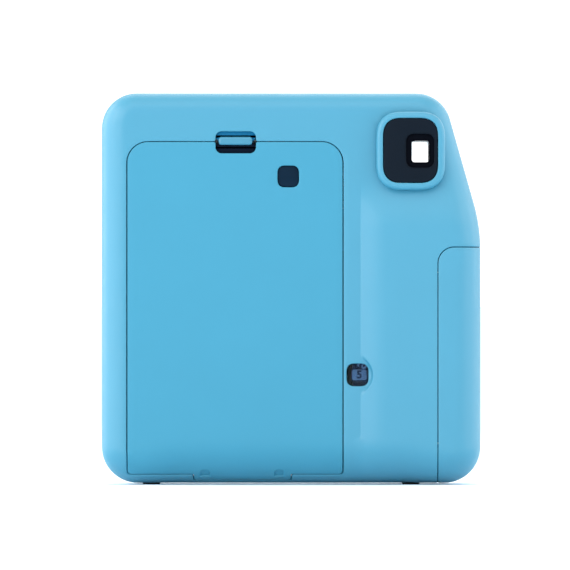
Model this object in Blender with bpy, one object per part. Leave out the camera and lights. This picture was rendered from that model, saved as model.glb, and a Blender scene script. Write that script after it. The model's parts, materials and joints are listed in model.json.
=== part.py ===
"""Instant camera: two case halves, film door, lens group, ejector rollers and their drive.

Every length in this script is in millimetres until add_node() writes the mesh in metres.
+X is to the right of the person holding the camera, +Y points where the lens points and
+Z is up. The origin is on the surface the feet stand on, below the middle of the camera.
"""
import math

import bmesh
import bpy
from mathutils import Vector
from mathutils.geometry import delaunay_2d_cdt

MM = 0.001

# ---- driving dimensions -------------------------------------------------------------------
GAP = 0.3                     # clearance between neighbouring pieces
WALL = 2.0                    # case wall
HALF_WIDTH = 61.5
CASE_BOTTOM = 0.5
CASE_TOP = 127.0
BACK_Y = -25.0                # outside of the flat back
FRONT_Y = 17.5                # outside of the flat front
SPLIT_Y = -2.0                # plane where the two case halves meet
SHOULDER_TOP_X = 49.2         # the sloped shoulder, produced up to the top line
SHOULDER_FOOT_Z = 83.8        # and down to the right side line
CORNER_RADII = (11.7, 11.7, 55.0, 11.35, 11.35)
ARC_STEPS = 5
ROUNDING_STEPS = 4

# radius that rounds the back edge: at the sides, the top and the bottom
BACK_EDGE = (8.0, 5.5, 14.0)
FRONT_EDGE = (8.0, 7.0, 8.0)

# hand grip: a swelling to the right of a crease
CREASE_X = 22.5
BACK_BULGE = 2.75
BACK_BULGE_WIDTH = 8.0
FRONT_BULGE = 4.0
FRONT_BULGE_WIDTH = 16.0
BULGE_FADE = (84.0, 100.0)    # heights between which the back swelling dies out

# film door
DOOR_X = (-53.1, 16.7)
DOOR_TOP = 111.2
DOOR_CORNER = 6.8
DOOR_BOTTOM = 3.4
TONGUE_X = (-31.5, -0.1)
TONGUE_BOTTOM = 1.43
DOOR_BOTTOM_GAP = 0.65        # clearance under the door's lower edge, for its swing
HINGE_DEPTH = 1.3             # hinge axis below the outer surface
HINGE_BELOW_SEAM = 2.2        # hinge axis below the door's lower seam, along the surface
HINGE_PIN_RADIUS = 0.55

# latch
LATCH_RECESS = (-24.5, -11.4, 107.5, 114.6)
LATCH_TAB = (-23.5, -12.6, 110.2, 112.85)
LATCH_RECESS_DEPTH = 1.2

# windows in the back
PACK_WINDOW = (-4.3, 2.45, 96.6, 103.4)
COUNTER_WINDOW = (18.1, 25.0, 32.1, 39.2)
COUNTER_DIAL_X = 29.3
COUNTER_DIAL_RADIUS = 9.8
PACK_WINDOW_CORNER = 1.8
COUNTER_WINDOW_CORNER = 2.1

# eyepiece
SURROUND = (27.6, 49.9, 95.6, 121.0)
SURROUND_Y = -28.75
PANEL = (29.9, 47.5, 98.0, 118.8)
EYEPIECE = (37.25, 46.4, 102.8, 113.8)
SIGHT = (39.1, 44.7, 104.6, 111.6)
SURROUND_CORNER = 6.0
PANEL_CORNER = 4.0
EYEPIECE_CORNER = 2.1

# front fittings
FINDER_FRONT = (36.0, 47.6, 102.0, 114.6)
FLASH = (-46.0, -16.0, 102.5, 115.5)
FLASH_CORNER = 2.5
SENSOR_PLACE = (-4.0, 109.0)
SENSOR_RADIUS = 2.2
BUTTON_PLACE = (44.0, 72.0)
BUTTON_RADIUS = 6.5
BUTTON_TRAVEL = 1.5

# battery door and cells
BATTERY_DOOR_X = 47.7
BATTERY_DOOR_TOP = 77.0
BATTERY_DOOR_CORNER = 5.2
BATTERY_HINGE = (60.9, -0.8)  # vertical axis of the battery door, in (x, y)
BATTERY_RADIUS = 7.7
BATTERY_LENGTH = 27.0
BATTERY_X = 50.0
BATTERY_Y = -13.9
BATTERY_BASE = 13.9

# lens group
LENS_X = -18.2
LENS_Z = 58.0
RING_RADIUS = 27.0
RING_BORE = 22.6
BARREL_RADIUS = 22.0
BARREL_BORE = 20.0
SLEEVE_RADIUS = 19.0
SLEEVE_BORE = 17.0
RING_FRONT = 28.75
BARREL_FRONT = 27.9
BARREL_BACK = 12.0
SLEEVE_FRONT = 21.5
LENS_HOUSING_BACK = 9.6
MIRROR_OFFSET = 13.5           # self-portrait mirror beside the lens
MIRROR_RADIUS = 3.6
BLADE_PIVOT = 9.5             # shutter blade pins from the lens axis
BLADE_PIN_RADIUS = 0.7

# film chamber
CHAMBER_X = (-49.7, 13.3)
CHAMBER_Z = (11.8, 105.8)
TRAY_WALL = 1.5
TRAY_BACK = -21.5
TRAY_FRONT = -6.9
GATE_HALF = (23.0, 31.0)
SLOT_HALF = 28.5              # half the width of the exit slot
CLAW_Y = (-13.5, -9.5)
CLAW_Z = (60.0, 78.0)
CLAW_TRAVEL = 12.0

# ejector rollers and gears
MODULE = 0.5667
ROLLER_TEETH = 12
IDLER_TEETH = 24
PINION_TEETH = 10
ROLLER_RADIUS = 3.2
ROLLER_Z = 112.0
NIP_Y = -9.5
GEAR_X = (15.3, 18.1)
IDLER_FORWARD = 3.6           # idler centre in front of the front roller's
BRACKET_X = (LENS_X - 32.0, LENS_X + 30.0)
BRACKET_THICK = 2.0
AXLE_RADIUS = 1.2
SHAFT_RADIUS = 0.8

# screws under the case
SCREW_PLACES = {"case_screw_1": (-52.0, 8.0), "case_screw_2": (28.0, 8.0)}
SCREW_HEAD_RADIUS = 2.1
SCREW_HEAD = 1.1
SCREW_SHANK_RADIUS = 1.0
SCREW_LENGTH = 7.0
SCREW_SUNK = 0.2

# feet
FOOT_RADIUS = 2.8
FOOT_HEIGHT = 1.2
FOOT_PLACES = {
    "foot_rear_left": (-45.4, -11.0),
    "foot_rear_right": (38.9, -11.0),
    "foot_front_left": (-45.4, 8.0),
    "foot_front_right": (38.9, 8.0),
}

# colour, roughness and metallic value of each material
FINISHES = {
    "blue_shell": ((0.11, 0.48, 0.72), 0.45, 0.0),
    "light_blue": ((0.36, 0.72, 0.90), 0.40, 0.0),
    "dark_plastic": ((0.02, 0.03, 0.05), 0.45, 0.0),
    "grey_plastic": ((0.30, 0.31, 0.33), 0.50, 0.0),
    "white_plastic": ((0.85, 0.87, 0.88), 0.45, 0.0),
    "clear_window": ((0.03, 0.05, 0.08), 0.10, 0.0),
    "glass": ((0.80, 0.85, 0.88), 0.05, 0.0),
    "mirror": ((0.90, 0.90, 0.90), 0.05, 1.0),
    "steel": ((0.60, 0.60, 0.62), 0.35, 1.0),
    "brass": ((0.70, 0.55, 0.25), 0.35, 1.0),
    "board_green": ((0.05, 0.25, 0.12), 0.50, 0.0),
    "cell_wrap": ((0.10, 0.12, 0.14), 0.40, 0.2),
    "rubber": ((0.03, 0.03, 0.03), 0.80, 0.0),
}


# ---- outlines -----------------------------------------------------------------------------
def rounded_polygon(corners, radii, steps):
    """Points and inward normals round a convex polygon, anticlockwise, with arcs for corners."""
    result = []
    count = len(corners)
    for index, corner in enumerate(corners):
        here = Vector(corner)
        before = (here - Vector(corners[index - 1])).normalized()
        after = (Vector(corners[(index + 1) % count]) - here).normalized()
        turn = before.angle_signed(after) * -1.0
        reach = radii[index] * math.tan(abs(turn) / 2)
        start_normal = Vector((-before.y, before.x))
        centre = here - before * reach + start_normal * radii[index]
        for step in range(steps + 1):
            angle = turn * step / steps
            normal = Vector((start_normal.x * math.cos(angle) - start_normal.y * math.sin(angle),
                             start_normal.x * math.sin(angle) + start_normal.y * math.cos(angle)))
            result.append((centre - normal * radii[index], normal))
    return result


def rectangle(bounds, radius=0.0, steps=3, grow=0.0):
    """Anticlockwise outline of a rectangle (low u, high u, low v, high v), corners rounded."""
    u0, u1, v0, v1 = bounds
    corners = ((u0 - grow, v0 - grow), (u1 + grow, v0 - grow),
               (u1 + grow, v1 + grow), (u0 - grow, v1 + grow))
    if radius <= 0.0:
        return [Vector(corner) for corner in corners]
    return [point for point, _ in rounded_polygon(corners, (max(radius + grow, 0.4),) * 4, steps)]


def circle(centre, radius, steps=24):
    """Anticlockwise circle."""
    return [Vector((centre[0] + radius * math.cos(2 * math.pi * step / steps),
                    centre[1] + radius * math.sin(2 * math.pi * step / steps)))
            for step in range(steps)]


def gear_outline(centre, teeth, phase):
    """Anticlockwise outline of a spur gear, four points to a tooth, with room at the flanks."""
    pitch_radius = MODULE * teeth / 2
    tip = pitch_radius + 0.75 * MODULE
    root = pitch_radius - 1.15 * MODULE
    points = []
    for tooth in range(teeth):
        middle = phase + 2 * math.pi * tooth / teeth
        share = 2 * math.pi / teeth
        for offset, radius in ((-0.27, root), (-0.11, tip), (0.11, tip), (0.27, root)):
            angle = middle + offset * share
            points.append(Vector((centre[0] + radius * math.cos(angle),
                                  centre[1] + radius * math.sin(angle))))
    return points


# ---- solids -------------------------------------------------------------------------------
AXES = {
    "X": lambda u, v, depth: (depth, u, v),
    "Y": lambda u, v, depth: (u, depth, v),
    "Z": lambda u, v, depth: (u, v, depth),
}


def close_solid(bm):
    """Turn every face of a finished solid outward."""
    bmesh.ops.recalc_face_normals(bm, faces=bm.faces)
    return bm


def prism(outline, axis, low, high):
    """Outline pushed along an axis; it lies in (y, z), (x, z) or (x, y)."""
    place = AXES[axis]
    bm = bmesh.new()
    bottom = [bm.verts.new(place(p.x, p.y, low)) for p in outline]
    top = [bm.verts.new(place(p.x, p.y, high)) for p in outline]
    bm.faces.new(bottom)
    bm.faces.new(top)
    for index in range(len(outline)):
        after = (index + 1) % len(outline)
        bm.faces.new((bottom[index], bottom[after], top[after], top[index]))
    return close_solid(bm)


def tube(outer, inner, axis, low, high):
    """Prism with a hole; both outlines have the same number of points."""
    place = AXES[axis]
    bm = bmesh.new()
    loops = [[bm.verts.new(place(p.x, p.y, depth)) for p in outline]
             for outline, depth in ((outer, low), (outer, high), (inner, high), (inner, low))]
    bridge(bm, loops + [loops[0]])
    return close_solid(bm)


def bridge(bm, loops):
    """Faces between one loop of points and the next."""
    for lower, upper in zip(loops, loops[1:]):
        for index in range(len(lower)):
            after = (index + 1) % len(lower)
            bm.faces.new((lower[index], lower[after], upper[after], upper[index]))


def box(x, y, z):
    """Box from three (low, high) pairs."""
    return prism(rectangle((*x, *z)), "Y", *y)


def turned(profile, centre, axis, steps=24):
    """Closed profile of (radius, height) points, turned about an axis through centre."""
    place = AXES[axis]
    bm = bmesh.new()
    loops = []
    for radius, height in profile:
        loops.append([bm.verts.new(place(p.x, p.y, height)) for p in circle(centre, radius, steps)])
    bridge(bm, loops + [loops[0]])
    return close_solid(bm)


def rod(profile, centre, axis, steps=24):
    """Solid turned piece: (radius, height) points from one end face to the other."""
    place = AXES[axis]
    bm = bmesh.new()
    loops = []
    for radius, height in profile:
        loops.append([bm.verts.new(place(p.x, p.y, height)) for p in circle(centre, radius, steps)])
    bridge(bm, loops)
    bm.faces.new(loops[0])
    bm.faces.new(loops[-1])
    return close_solid(bm)


def cylinder(centre, radius, axis, low, high, steps=24):
    return rod(((radius, low), (radius, high)), centre, axis, steps)


# ---- objects ------------------------------------------------------------------------------
def make_material(name):
    existing = bpy.data.materials.get(name)
    if existing:
        return existing
    colour, roughness, metallic = FINISHES[name]
    material = bpy.data.materials.new(name)
    material.use_nodes = True
    shader = material.node_tree.nodes["Principled BSDF"]
    shader.inputs["Base Color"].default_value = (*colour, 1.0)
    shader.inputs["Roughness"].default_value = roughness
    shader.inputs["Metallic"].default_value = metallic
    return material


def add_object(name, bm, origin=(0.0, 0.0, 0.0)):
    """Mesh object in metres, with its origin where a joint or the frame puts it."""
    for vert in bm.verts:
        vert.co = (vert.co - Vector(origin)) * MM
    mesh = bpy.data.meshes.new(name)
    bm.to_mesh(mesh)
    bm.free()
    obj = bpy.data.objects.new(name, mesh)
    obj.location = Vector(origin) * MM
    bpy.context.scene.collection.objects.link(obj)
    return obj


def add_node(name, bm, finish, origin=(0.0, 0.0, 0.0), smooth=True):
    """One physical piece of the camera."""
    obj = add_object(name, bm, origin)
    obj.data.materials.append(make_material(finish))
    if smooth:
        obj.data.shade_smooth()
        obj.data.set_sharp_from_angle(angle=math.radians(35))
    return obj


def shape(obj, bm, operation="DIFFERENCE"):
    """Cut a solid out of a piece, or join or intersect it."""
    tool = add_object(obj.name + "_tool", bm)
    tool.hide_render = True
    tool.display_type = "WIRE"
    modifier = obj.modifiers.new("shape", "BOOLEAN")
    modifier.operation = operation
    modifier.solver = "EXACT"
    modifier.object = tool
    return tool


# ---- the case form ------------------------------------------------------------------------
def case_outline(columns):
    """Outline of the case seen from behind, with extra points on its top and bottom at columns."""
    corners = ((-HALF_WIDTH, CASE_BOTTOM), (HALF_WIDTH, CASE_BOTTOM), (HALF_WIDTH, SHOULDER_FOOT_Z),
               (SHOULDER_TOP_X, CASE_TOP), (-HALF_WIDTH, CASE_TOP))
    points = rounded_polygon(corners, CORNER_RADII, ARC_STEPS)
    result = []
    for (here, normal), (after, _) in zip(points, points[1:] + points[:1]):
        result.append((here, normal))
        inside = [x for x in columns if min(here.x, after.x) + 1.0 < x < max(here.x, after.x) - 1.0]
        if abs(normal.y) < 0.999:
            inside = []
        for x in sorted(inside, reverse=after.x < here.x):
            share = (x - here.x) / (after.x - here.x)
            result.append((here.lerp(after, share), normal))
    return result


def edge_radius(normal, radii):
    """Radius that rounds the case edge where the outline faces a given way."""
    side, top, bottom = radii
    vertical = top if normal.y < 0 else bottom
    return side * normal.x ** 2 + vertical * normal.y ** 2


def ease(value):
    """Smooth step from 0 to 1."""
    value = min(max(value, 0.0), 1.0)
    return value * value * (3 - 2 * value)


def back_bulge(x, z):
    rise = math.sin(math.pi / 2 * min(max((x - CREASE_X) / BACK_BULGE_WIDTH, 0.0), 1.0))
    fade = 1.0 - ease((z - BULGE_FADE[0]) / (BULGE_FADE[1] - BULGE_FADE[0]))
    return BACK_BULGE * rise * fade


def front_bulge(x, z):
    return FRONT_BULGE * ease((x - CREASE_X) / FRONT_BULGE_WIDTH)


def case_rings(bm, face_y, outward, radii, bulge, columns, inset):
    """Rings from the split plane to the edge of the flat face, inset from the outer form."""
    outline = case_outline(columns)
    split = SPLIT_Y + outward * GAP / 2
    rings = [[bm.verts.new((p.x + n.x * inset, split, p.y + n.y * inset)) for p, n in outline]]
    for step in range(ROUNDING_STEPS + 1):
        angle = math.pi / 2 * step / ROUNDING_STEPS
        ring = []
        for point, normal in outline:
            radius = edge_radius(normal, radii) - inset
            place = point + normal * (inset + radius * (1 - math.cos(angle)))
            swell = bulge(place.x, place.y) * math.sin(angle)
            depth = face_y + outward * (swell - inset - radius * (1 - math.sin(angle)))
            ring.append(bm.verts.new((place.x, depth, place.y)))
        rings.append(ring)
    return rings


def cap_face(bm, ring, face_y, outward, bulge, columns, inset):
    """Fill the flat face inside a ring, with columns of points that carry the swelling."""
    flat = [Vector((vert.co.x, vert.co.z)) for vert in ring]
    points = list(flat)
    edges = [(index, (index + 1) % len(flat)) for index in range(len(flat))]
    low_z = min(point.y for point in flat)
    rows = (low_z + 4.0, BULGE_FADE[0], sum(BULGE_FADE) / 2, BULGE_FADE[1])
    for x in columns:
        first = len(points)
        points += [Vector((x, z)) for z in rows]
        edges += [(index, index + 1) for index in range(first, len(points) - 1)]
    verts, _, faces, origins, _, _ = delaunay_2d_cdt(points, edges, [], 1, 1e-5)
    made = []
    for vert, origin in zip(verts, origins):
        if origin and origin[0] < len(ring):
            made.append(ring[origin[0]])
            continue
        depth = face_y + outward * (bulge(vert.x, vert.y) - inset)
        made.append(bm.verts.new((vert.x, depth, vert.y)))
    for face in faces:
        bm.faces.new([made[index] for index in face])


def case_half(face_y, outward, radii, bulge, columns):
    """One half of the case: an open cup of even wall."""
    bm = bmesh.new()
    skins = []
    for inset in (0.0, WALL):
        rings = case_rings(bm, face_y, outward, radii, bulge, columns, inset)
        bridge(bm, rings)
        cap_face(bm, rings[-1], face_y, outward, bulge, columns, inset)
        skins.append(rings[0])
    bridge(bm, skins)
    return close_solid(bm)


def rear_half():
    columns = [CREASE_X + BACK_BULGE_WIDTH * share for share in (0.0, 0.5, 1.0)]
    return case_half(BACK_Y, -1.0, BACK_EDGE, back_bulge, columns)


def front_half():
    columns = [CREASE_X + FRONT_BULGE_WIDTH * share for share in (0.0, 0.25, 0.5, 0.75, 1.0)]
    return case_half(FRONT_Y, 1.0, FRONT_EDGE, front_bulge, columns)


# ---- the film door's cut ------------------------------------------------------------------
BOTTOM_EDGE = BACK_EDGE[2]
EDGE_CENTRE = Vector((BACK_Y + BOTTOM_EDGE, CASE_BOTTOM + BOTTOM_EDGE))


def edge_angle(height):
    """Angle below the horizontal at which the rounded bottom edge reaches a height."""
    return math.asin((EDGE_CENTRE.y - height) / BOTTOM_EDGE)


def hinge_axis():
    """The film door's hinge axis in (y, z)."""
    angle = edge_angle(DOOR_BOTTOM) + HINGE_BELOW_SEAM / BOTTOM_EDGE
    radius = BOTTOM_EDGE - HINGE_DEPTH
    return EDGE_CENTRE - radius * Vector((math.cos(angle), math.sin(angle)))


def door_wedge(x, height, below, grow):
    """Everything behind the case between a radial plane at the bottom and the door's top."""
    angle = edge_angle(height) + below / BOTTOM_EDGE
    far = EDGE_CENTRE - 30.0 * Vector((math.cos(angle), math.sin(angle)))
    outline = [EDGE_CENTRE.copy(), Vector((EDGE_CENTRE.x, DOOR_TOP + grow)),
               Vector((-45.0, DOOR_TOP + grow)), Vector((-45.0, far.y)), far]
    return prism(outline, "X", x[0] - grow, x[1] + grow)


def door_outline(grow):
    """The door seen from behind: round upper corners, running past the bottom of the case."""
    corners = ((DOOR_X[0] - grow, -20.0), (DOOR_X[1] + grow, -20.0),
               (DOOR_X[1] + grow, DOOR_TOP + grow), (DOOR_X[0] - grow, DOOR_TOP + grow))
    radii = (1.0, 1.0, DOOR_CORNER + grow, DOOR_CORNER + grow)
    return [point for point, _ in rounded_polygon(corners, radii, 4)]


def door_tool(name, grow, below):
    """Solid that holds the film door and its hinge tongue."""
    tool = add_object(name, door_wedge(DOOR_X, DOOR_BOTTOM, below, grow))
    tool.hide_render = True
    tool.display_type = "WIRE"
    shape(tool, prism(door_outline(grow), "Y", -50.0, 0.0), "INTERSECT")
    tongue = (TONGUE_X[0], TONGUE_X[1])
    shape(tool, door_wedge(tongue, TONGUE_BOTTOM, below, grow - 0.01), "UNION")
    return tool


def use_tool(obj, tool, operation):
    modifier = obj.modifiers.new("shape", "BOOLEAN")
    modifier.operation = operation
    modifier.solver = "EXACT"
    modifier.object = tool


def battery_door_prism(grow):
    """The battery door's outline seen from behind, pushed through the rear half."""
    corners = ((BATTERY_DOOR_X - grow, -10.0), (80.0, -10.0),
               (80.0, BATTERY_DOOR_TOP + grow), (BATTERY_DOOR_X - grow, BATTERY_DOOR_TOP + grow))
    outline = rounded_polygon(corners, (1.0, 1.0, 1.0, BATTERY_DOOR_CORNER + grow), 4)
    return prism([point for point, _ in outline], "Y", -40.0, SPLIT_Y + 5.0)


# ---- pieces: case -------------------------------------------------------------------------
def make_rear_cover():
    cover = add_node("rear_cover", rear_half(), "blue_shell")
    shape(cover, prism(rectangle(SURROUND, SURROUND_CORNER, 4), "Y", SURROUND_Y, BACK_Y + WALL - 0.3), "UNION")
    use_tool(cover, door_tool("door_opening", GAP, DOOR_BOTTOM_GAP), "DIFFERENCE")
    shape(cover, battery_door_prism(GAP))
    panel_back = SURROUND_Y + 1.6
    shape(cover, prism(rectangle(PANEL, PANEL_CORNER, 3, GAP), "Y", SURROUND_Y - 5.0, panel_back))
    shape(cover, prism(rectangle(EYEPIECE, EYEPIECE_CORNER, 2, GAP), "Y", SURROUND_Y - 5.0, SPLIT_Y - 10.0))
    recess_floor = BACK_Y + LATCH_RECESS_DEPTH
    shape(cover, prism(rectangle(LATCH_RECESS, 1.8, 2), "Y", BACK_Y - 5.0, recess_floor))
    window = rectangle(COUNTER_WINDOW, COUNTER_WINDOW_CORNER, 2, GAP)
    shape(cover, prism(window, "Y", BACK_Y - 5.0, BACK_Y + 6.0))
    slot = (LENS_X - SLOT_HALF, LENS_X + SLOT_HALF, NIP_Y - 1.6, NIP_Y + 1.6)
    shape(cover, prism(rectangle(slot, 1.5, 2), "Z", CASE_TOP - 6.0, CASE_TOP + 5.0))
    axis = hinge_axis()
    hole = cylinder(axis, HINGE_PIN_RADIUS + GAP, "X", TONGUE_X[0] - 3.0, TONGUE_X[1] + 3.0, 12)
    shape(cover, hole)
    for name in ("foot_rear_left", "foot_rear_right"):
        shape(cover, cylinder(FOOT_PLACES[name], FOOT_RADIUS + GAP, "Z", -5.0, FOOT_HEIGHT))


def make_front_cover():
    cover = add_node("front_cover", front_half(), "blue_shell")
    lens = (LENS_X, LENS_Z)
    shape(cover, cylinder(lens, RING_BORE + 0.6, "Y", 5.0, 40.0, 32))
    shape(cover, prism(rectangle(FLASH, FLASH_CORNER, 2, GAP), "Y", 5.0, 40.0))
    shape(cover, prism(rectangle(FINDER_FRONT, 2.0, 2, GAP), "Y", 5.0, 40.0))
    shape(cover, cylinder(BUTTON_PLACE, BUTTON_RADIUS + GAP, "Y", 5.0, 40.0))
    shape(cover, cylinder(SENSOR_PLACE, SENSOR_RADIUS + GAP, "Y", 5.0, 40.0, 16))
    for name in ("foot_front_left", "foot_front_right"):
        shape(cover, cylinder(FOOT_PLACES[name], FOOT_RADIUS + GAP, "Z", -5.0, FOOT_HEIGHT))
    for place in SCREW_PLACES.values():
        head = SCREW_HEAD_RADIUS + GAP
        shank = SCREW_SHANK_RADIUS + GAP
        floor = CASE_BOTTOM + SCREW_SUNK + SCREW_HEAD + GAP
        profile = ((head, CASE_BOTTOM - 5.0), (head, floor), (shank, floor), (shank, CASE_BOTTOM + 12.0))
        shape(cover, rod(profile, place, "Z", 16))


def make_feet():
    for name, place in FOOT_PLACES.items():
        profile = ((FOOT_RADIUS - 0.5, 0.0), (FOOT_RADIUS, 0.4), (FOOT_RADIUS, FOOT_HEIGHT - GAP))
        add_node(name, rod(profile, place, "Z", 20), "rubber")


def make_case_screws():
    for name, place in SCREW_PLACES.items():
        head = CASE_BOTTOM + SCREW_SUNK
        under = head + SCREW_HEAD
        profile = ((SCREW_HEAD_RADIUS, head), (SCREW_HEAD_RADIUS, under),
                   (SCREW_SHANK_RADIUS, under), (SCREW_SHANK_RADIUS, head + SCREW_LENGTH))
        add_node(name, rod(profile, place, "Z", 14), "steel")


# ---- pieces: film door --------------------------------------------------------------------
def make_film_door():
    axis = hinge_axis()
    door = add_node("film_door", rear_half(), "blue_shell", (LENS_X, axis.x, axis.y))
    use_tool(door, door_tool("door_body", 0.0, 0.0), "INTERSECT")
    recess_floor = BACK_Y + LATCH_RECESS_DEPTH
    shape(door, prism(rectangle(LATCH_RECESS, 1.8, 2), "Y", BACK_Y - 5.0, recess_floor))
    shape(door, prism(rectangle(PACK_WINDOW, PACK_WINDOW_CORNER, 2, GAP), "Y", BACK_Y - 5.0,
                      BACK_Y + 6.0))
    shape(door, cylinder(axis, HINGE_PIN_RADIUS + GAP, "X", TONGUE_X[0] - 3.0, TONGUE_X[1] + 3.0, 12))
    pin = cylinder(axis, HINGE_PIN_RADIUS, "X", TONGUE_X[0] - 2.5, TONGUE_X[1] + 2.5, 12)
    add_node("hinge_pin", pin, "steel")
    window = prism(rectangle(PACK_WINDOW, PACK_WINDOW_CORNER, 3), "Y", BACK_Y + 0.5, BACK_Y + WALL - 0.2)
    add_node("pack_window", window, "clear_window")
    spring = box((LENS_X - 8.0, LENS_X + 8.0), (BACK_Y + WALL + GAP, BACK_Y + WALL + 0.7),
                 (LENS_Z - 30.0, LENS_Z + 30.0))
    add_node("pressure_spring", spring, "steel")


def make_door_latch():
    tab = prism(rectangle(LATCH_TAB, 0.9, 2), "Y", BACK_Y - 0.4, BACK_Y + LATCH_RECESS_DEPTH - GAP)
    centre = (LATCH_TAB[0] + LATCH_TAB[1]) / 2
    add_node("door_latch", tab, "light_blue", (centre, BACK_Y, (LATCH_TAB[2] + LATCH_TAB[3]) / 2))


# ---- pieces: eyepiece and finder ----------------------------------------------------------
def front_surface(x):
    return FRONT_Y + front_bulge(x, 0.0)


def rectangular_tube(outer, inner, y0, y1, radius):
    """Tube along Y between two rounded rectangles."""
    return tube(rectangle(outer, radius, 3), rectangle(inner, radius / 2, 3), "Y", y0, y1)


def make_finder():
    panel = rectangular_tube(PANEL, EYEPIECE, SURROUND_Y + 0.25, SURROUND_Y + 1.3,
                             PANEL_CORNER)
    add_node("eyepiece_panel", panel, "dark_plastic")
    frame = (EYEPIECE[0] + 0.3, EYEPIECE[1] - 0.3, EYEPIECE[2] + 0.3, EYEPIECE[3] - 0.3)
    bezel = rectangular_tube(frame, SIGHT, SURROUND_Y + 1.4, SURROUND_Y + 2.6, 1.6)
    add_node("eyepiece_frame", bezel, "dark_plastic")
    outer = (SIGHT[0] - 1.2, SIGHT[1] + 1.2, SIGHT[2] - 1.2, SIGHT[3] + 1.2)
    eyepiece_lens = prism(rectangle(outer, 1.0, 2), "Y", SURROUND_Y + 2.9, SURROUND_Y + 4.4)
    add_node("eyepiece_lens", eyepiece_lens, "glass")
    tube_front = front_surface(FINDER_FRONT[0]) - WALL - 3.0
    add_node("finder_tube", rectangular_tube(outer, SIGHT, SURROUND_Y + 4.7, tube_front, 1.0),
             "dark_plastic")
    window = prism(rectangle(FINDER_FRONT, 2.0, 3), "Y", tube_front + 2.2, tube_front + 3.7)
    add_node("finder_window", window, "glass")


# ---- pieces: front fittings ---------------------------------------------------------------
def make_flash():
    cover = prism(rectangle(FLASH, FLASH_CORNER, 3), "Y", FRONT_Y - 1.7, FRONT_Y - 0.3)
    add_node("flash_window", cover, "glass")
    back = FRONT_Y - WALL - 8.0
    reflector = prism(rectangle(FLASH, FLASH_CORNER, 2, -1.5), "Y", back, FRONT_Y - WALL - 0.3)
    dish = add_node("flash_reflector", reflector, "mirror")
    shape(dish, prism(rectangle(FLASH, 3.5, 2, -2.6), "Y", back + 1.2, FRONT_Y + 5.0))
    middle = (back + 3.8, (FLASH[2] + FLASH[3]) / 2)
    add_node("flash_lamp", cylinder(middle, 1.6, "X", FLASH[0] + 4.0, FLASH[1] - 4.0, 12), "glass")
    add_node("flash_capacitor", cylinder((6.0, 12.5), 5.0, "X", -48.0, -18.0, 20), "cell_wrap")


def make_sensor_window():
    window = cylinder(SENSOR_PLACE, SENSOR_RADIUS, "Y", FRONT_Y - 1.6, FRONT_Y - 0.2, 16)
    add_node("light_sensor_window", window, "clear_window")


def make_shutter_button():
    surface = front_surface(BUTTON_PLACE[0])
    inner = surface - WALL
    profile = ((BUTTON_RADIUS + 1.2, inner - 1.8), (BUTTON_RADIUS + 1.2, inner - 0.6),
               (BUTTON_RADIUS, inner - 0.6), (BUTTON_RADIUS, surface + 1.8),
               (BUTTON_RADIUS - 0.9, surface + 2.5))
    add_node("shutter_button", rod(profile, BUTTON_PLACE, "Y"), "light_blue",
             (BUTTON_PLACE[0], surface, BUTTON_PLACE[1]))
    x, z = BUTTON_PLACE
    switch = box((x - 3.0, x + 3.0), (7.6, inner - 1.8 - BUTTON_TRAVEL - GAP), (z - 3.0, z + 3.0))
    add_node("shutter_switch", switch, "dark_plastic")


# ---- pieces: lens group -------------------------------------------------------------------
def make_lens_group():
    lens = (LENS_X, LENS_Z)
    flange = FRONT_Y - WALL - GAP
    back = LENS_HOUSING_BACK
    seat = back + 1.4
    floor = back + 1.9
    wall = (RING_BORE + 0.5, RING_BORE + 2.0)
    profile = ((SLEEVE_BORE, back), (RING_RADIUS + 1.0, back), (RING_RADIUS + 1.0, seat), (wall[1], seat),
               (wall[1], flange), (wall[0], flange), (wall[0], floor),
               (SLEEVE_RADIUS, floor), (SLEEVE_RADIUS, SLEEVE_FRONT), (SLEEVE_BORE, SLEEVE_FRONT))
    add_node("lens_mount", turned(profile, lens, "Y", 32), "dark_plastic")
    ring_back = FRONT_Y + GAP
    profile = ((RING_BORE, ring_back), (RING_RADIUS, ring_back), (RING_RADIUS, RING_FRONT - 1.2),
               (RING_RADIUS - 1.2, RING_FRONT), (RING_BORE + 0.8, RING_FRONT), (RING_BORE, RING_FRONT - 1.0))
    add_node("lens_ring", turned(profile, lens, "Y", 40), "light_blue", (LENS_X, ring_back, LENS_Z))
    plate = BARREL_FRONT - 2.4
    profile = ((BARREL_BORE, BARREL_BACK), (BARREL_RADIUS, BARREL_BACK), (BARREL_RADIUS, BARREL_FRONT - 0.8),
               (BARREL_RADIUS - 0.8, BARREL_FRONT), (8.4, BARREL_FRONT), (8.0, BARREL_FRONT - 0.6),
               (8.0, plate), (BARREL_BORE, plate))
    barrel = add_node("lens_barrel", turned(profile, lens, "Y", 32), "dark_plastic",
                      (LENS_X, BARREL_FRONT, LENS_Z))
    mirror = (LENS_X + MIRROR_OFFSET, LENS_Z)
    shape(barrel, cylinder(mirror, MIRROR_RADIUS + GAP, "Y", BARREL_FRONT - 1.2, BARREL_FRONT + 5.0, 20))
    dome = ((MIRROR_RADIUS, BARREL_FRONT - 0.9), (MIRROR_RADIUS, BARREL_FRONT - 0.3),
            (MIRROR_RADIUS / 2, BARREL_FRONT - 0.05))
    add_node("selfie_mirror", rod(dome, mirror, "Y", 20), "mirror")
    front_glass = ((7.6, plate - 0.2), (7.6, BARREL_FRONT - 1.2), (5.0, BARREL_FRONT - 0.5),
                   (2.0, BARREL_FRONT - 0.2))
    add_node("front_lens", rod(front_glass, lens, "Y", 24), "glass")
    add_node("aperture_plate", tube(circle(lens, 19.4), circle(lens, 2.6), "Y", plate - 1.1, plate - 0.5),
             "dark_plastic")
    make_shutter(lens, plate)


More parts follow.
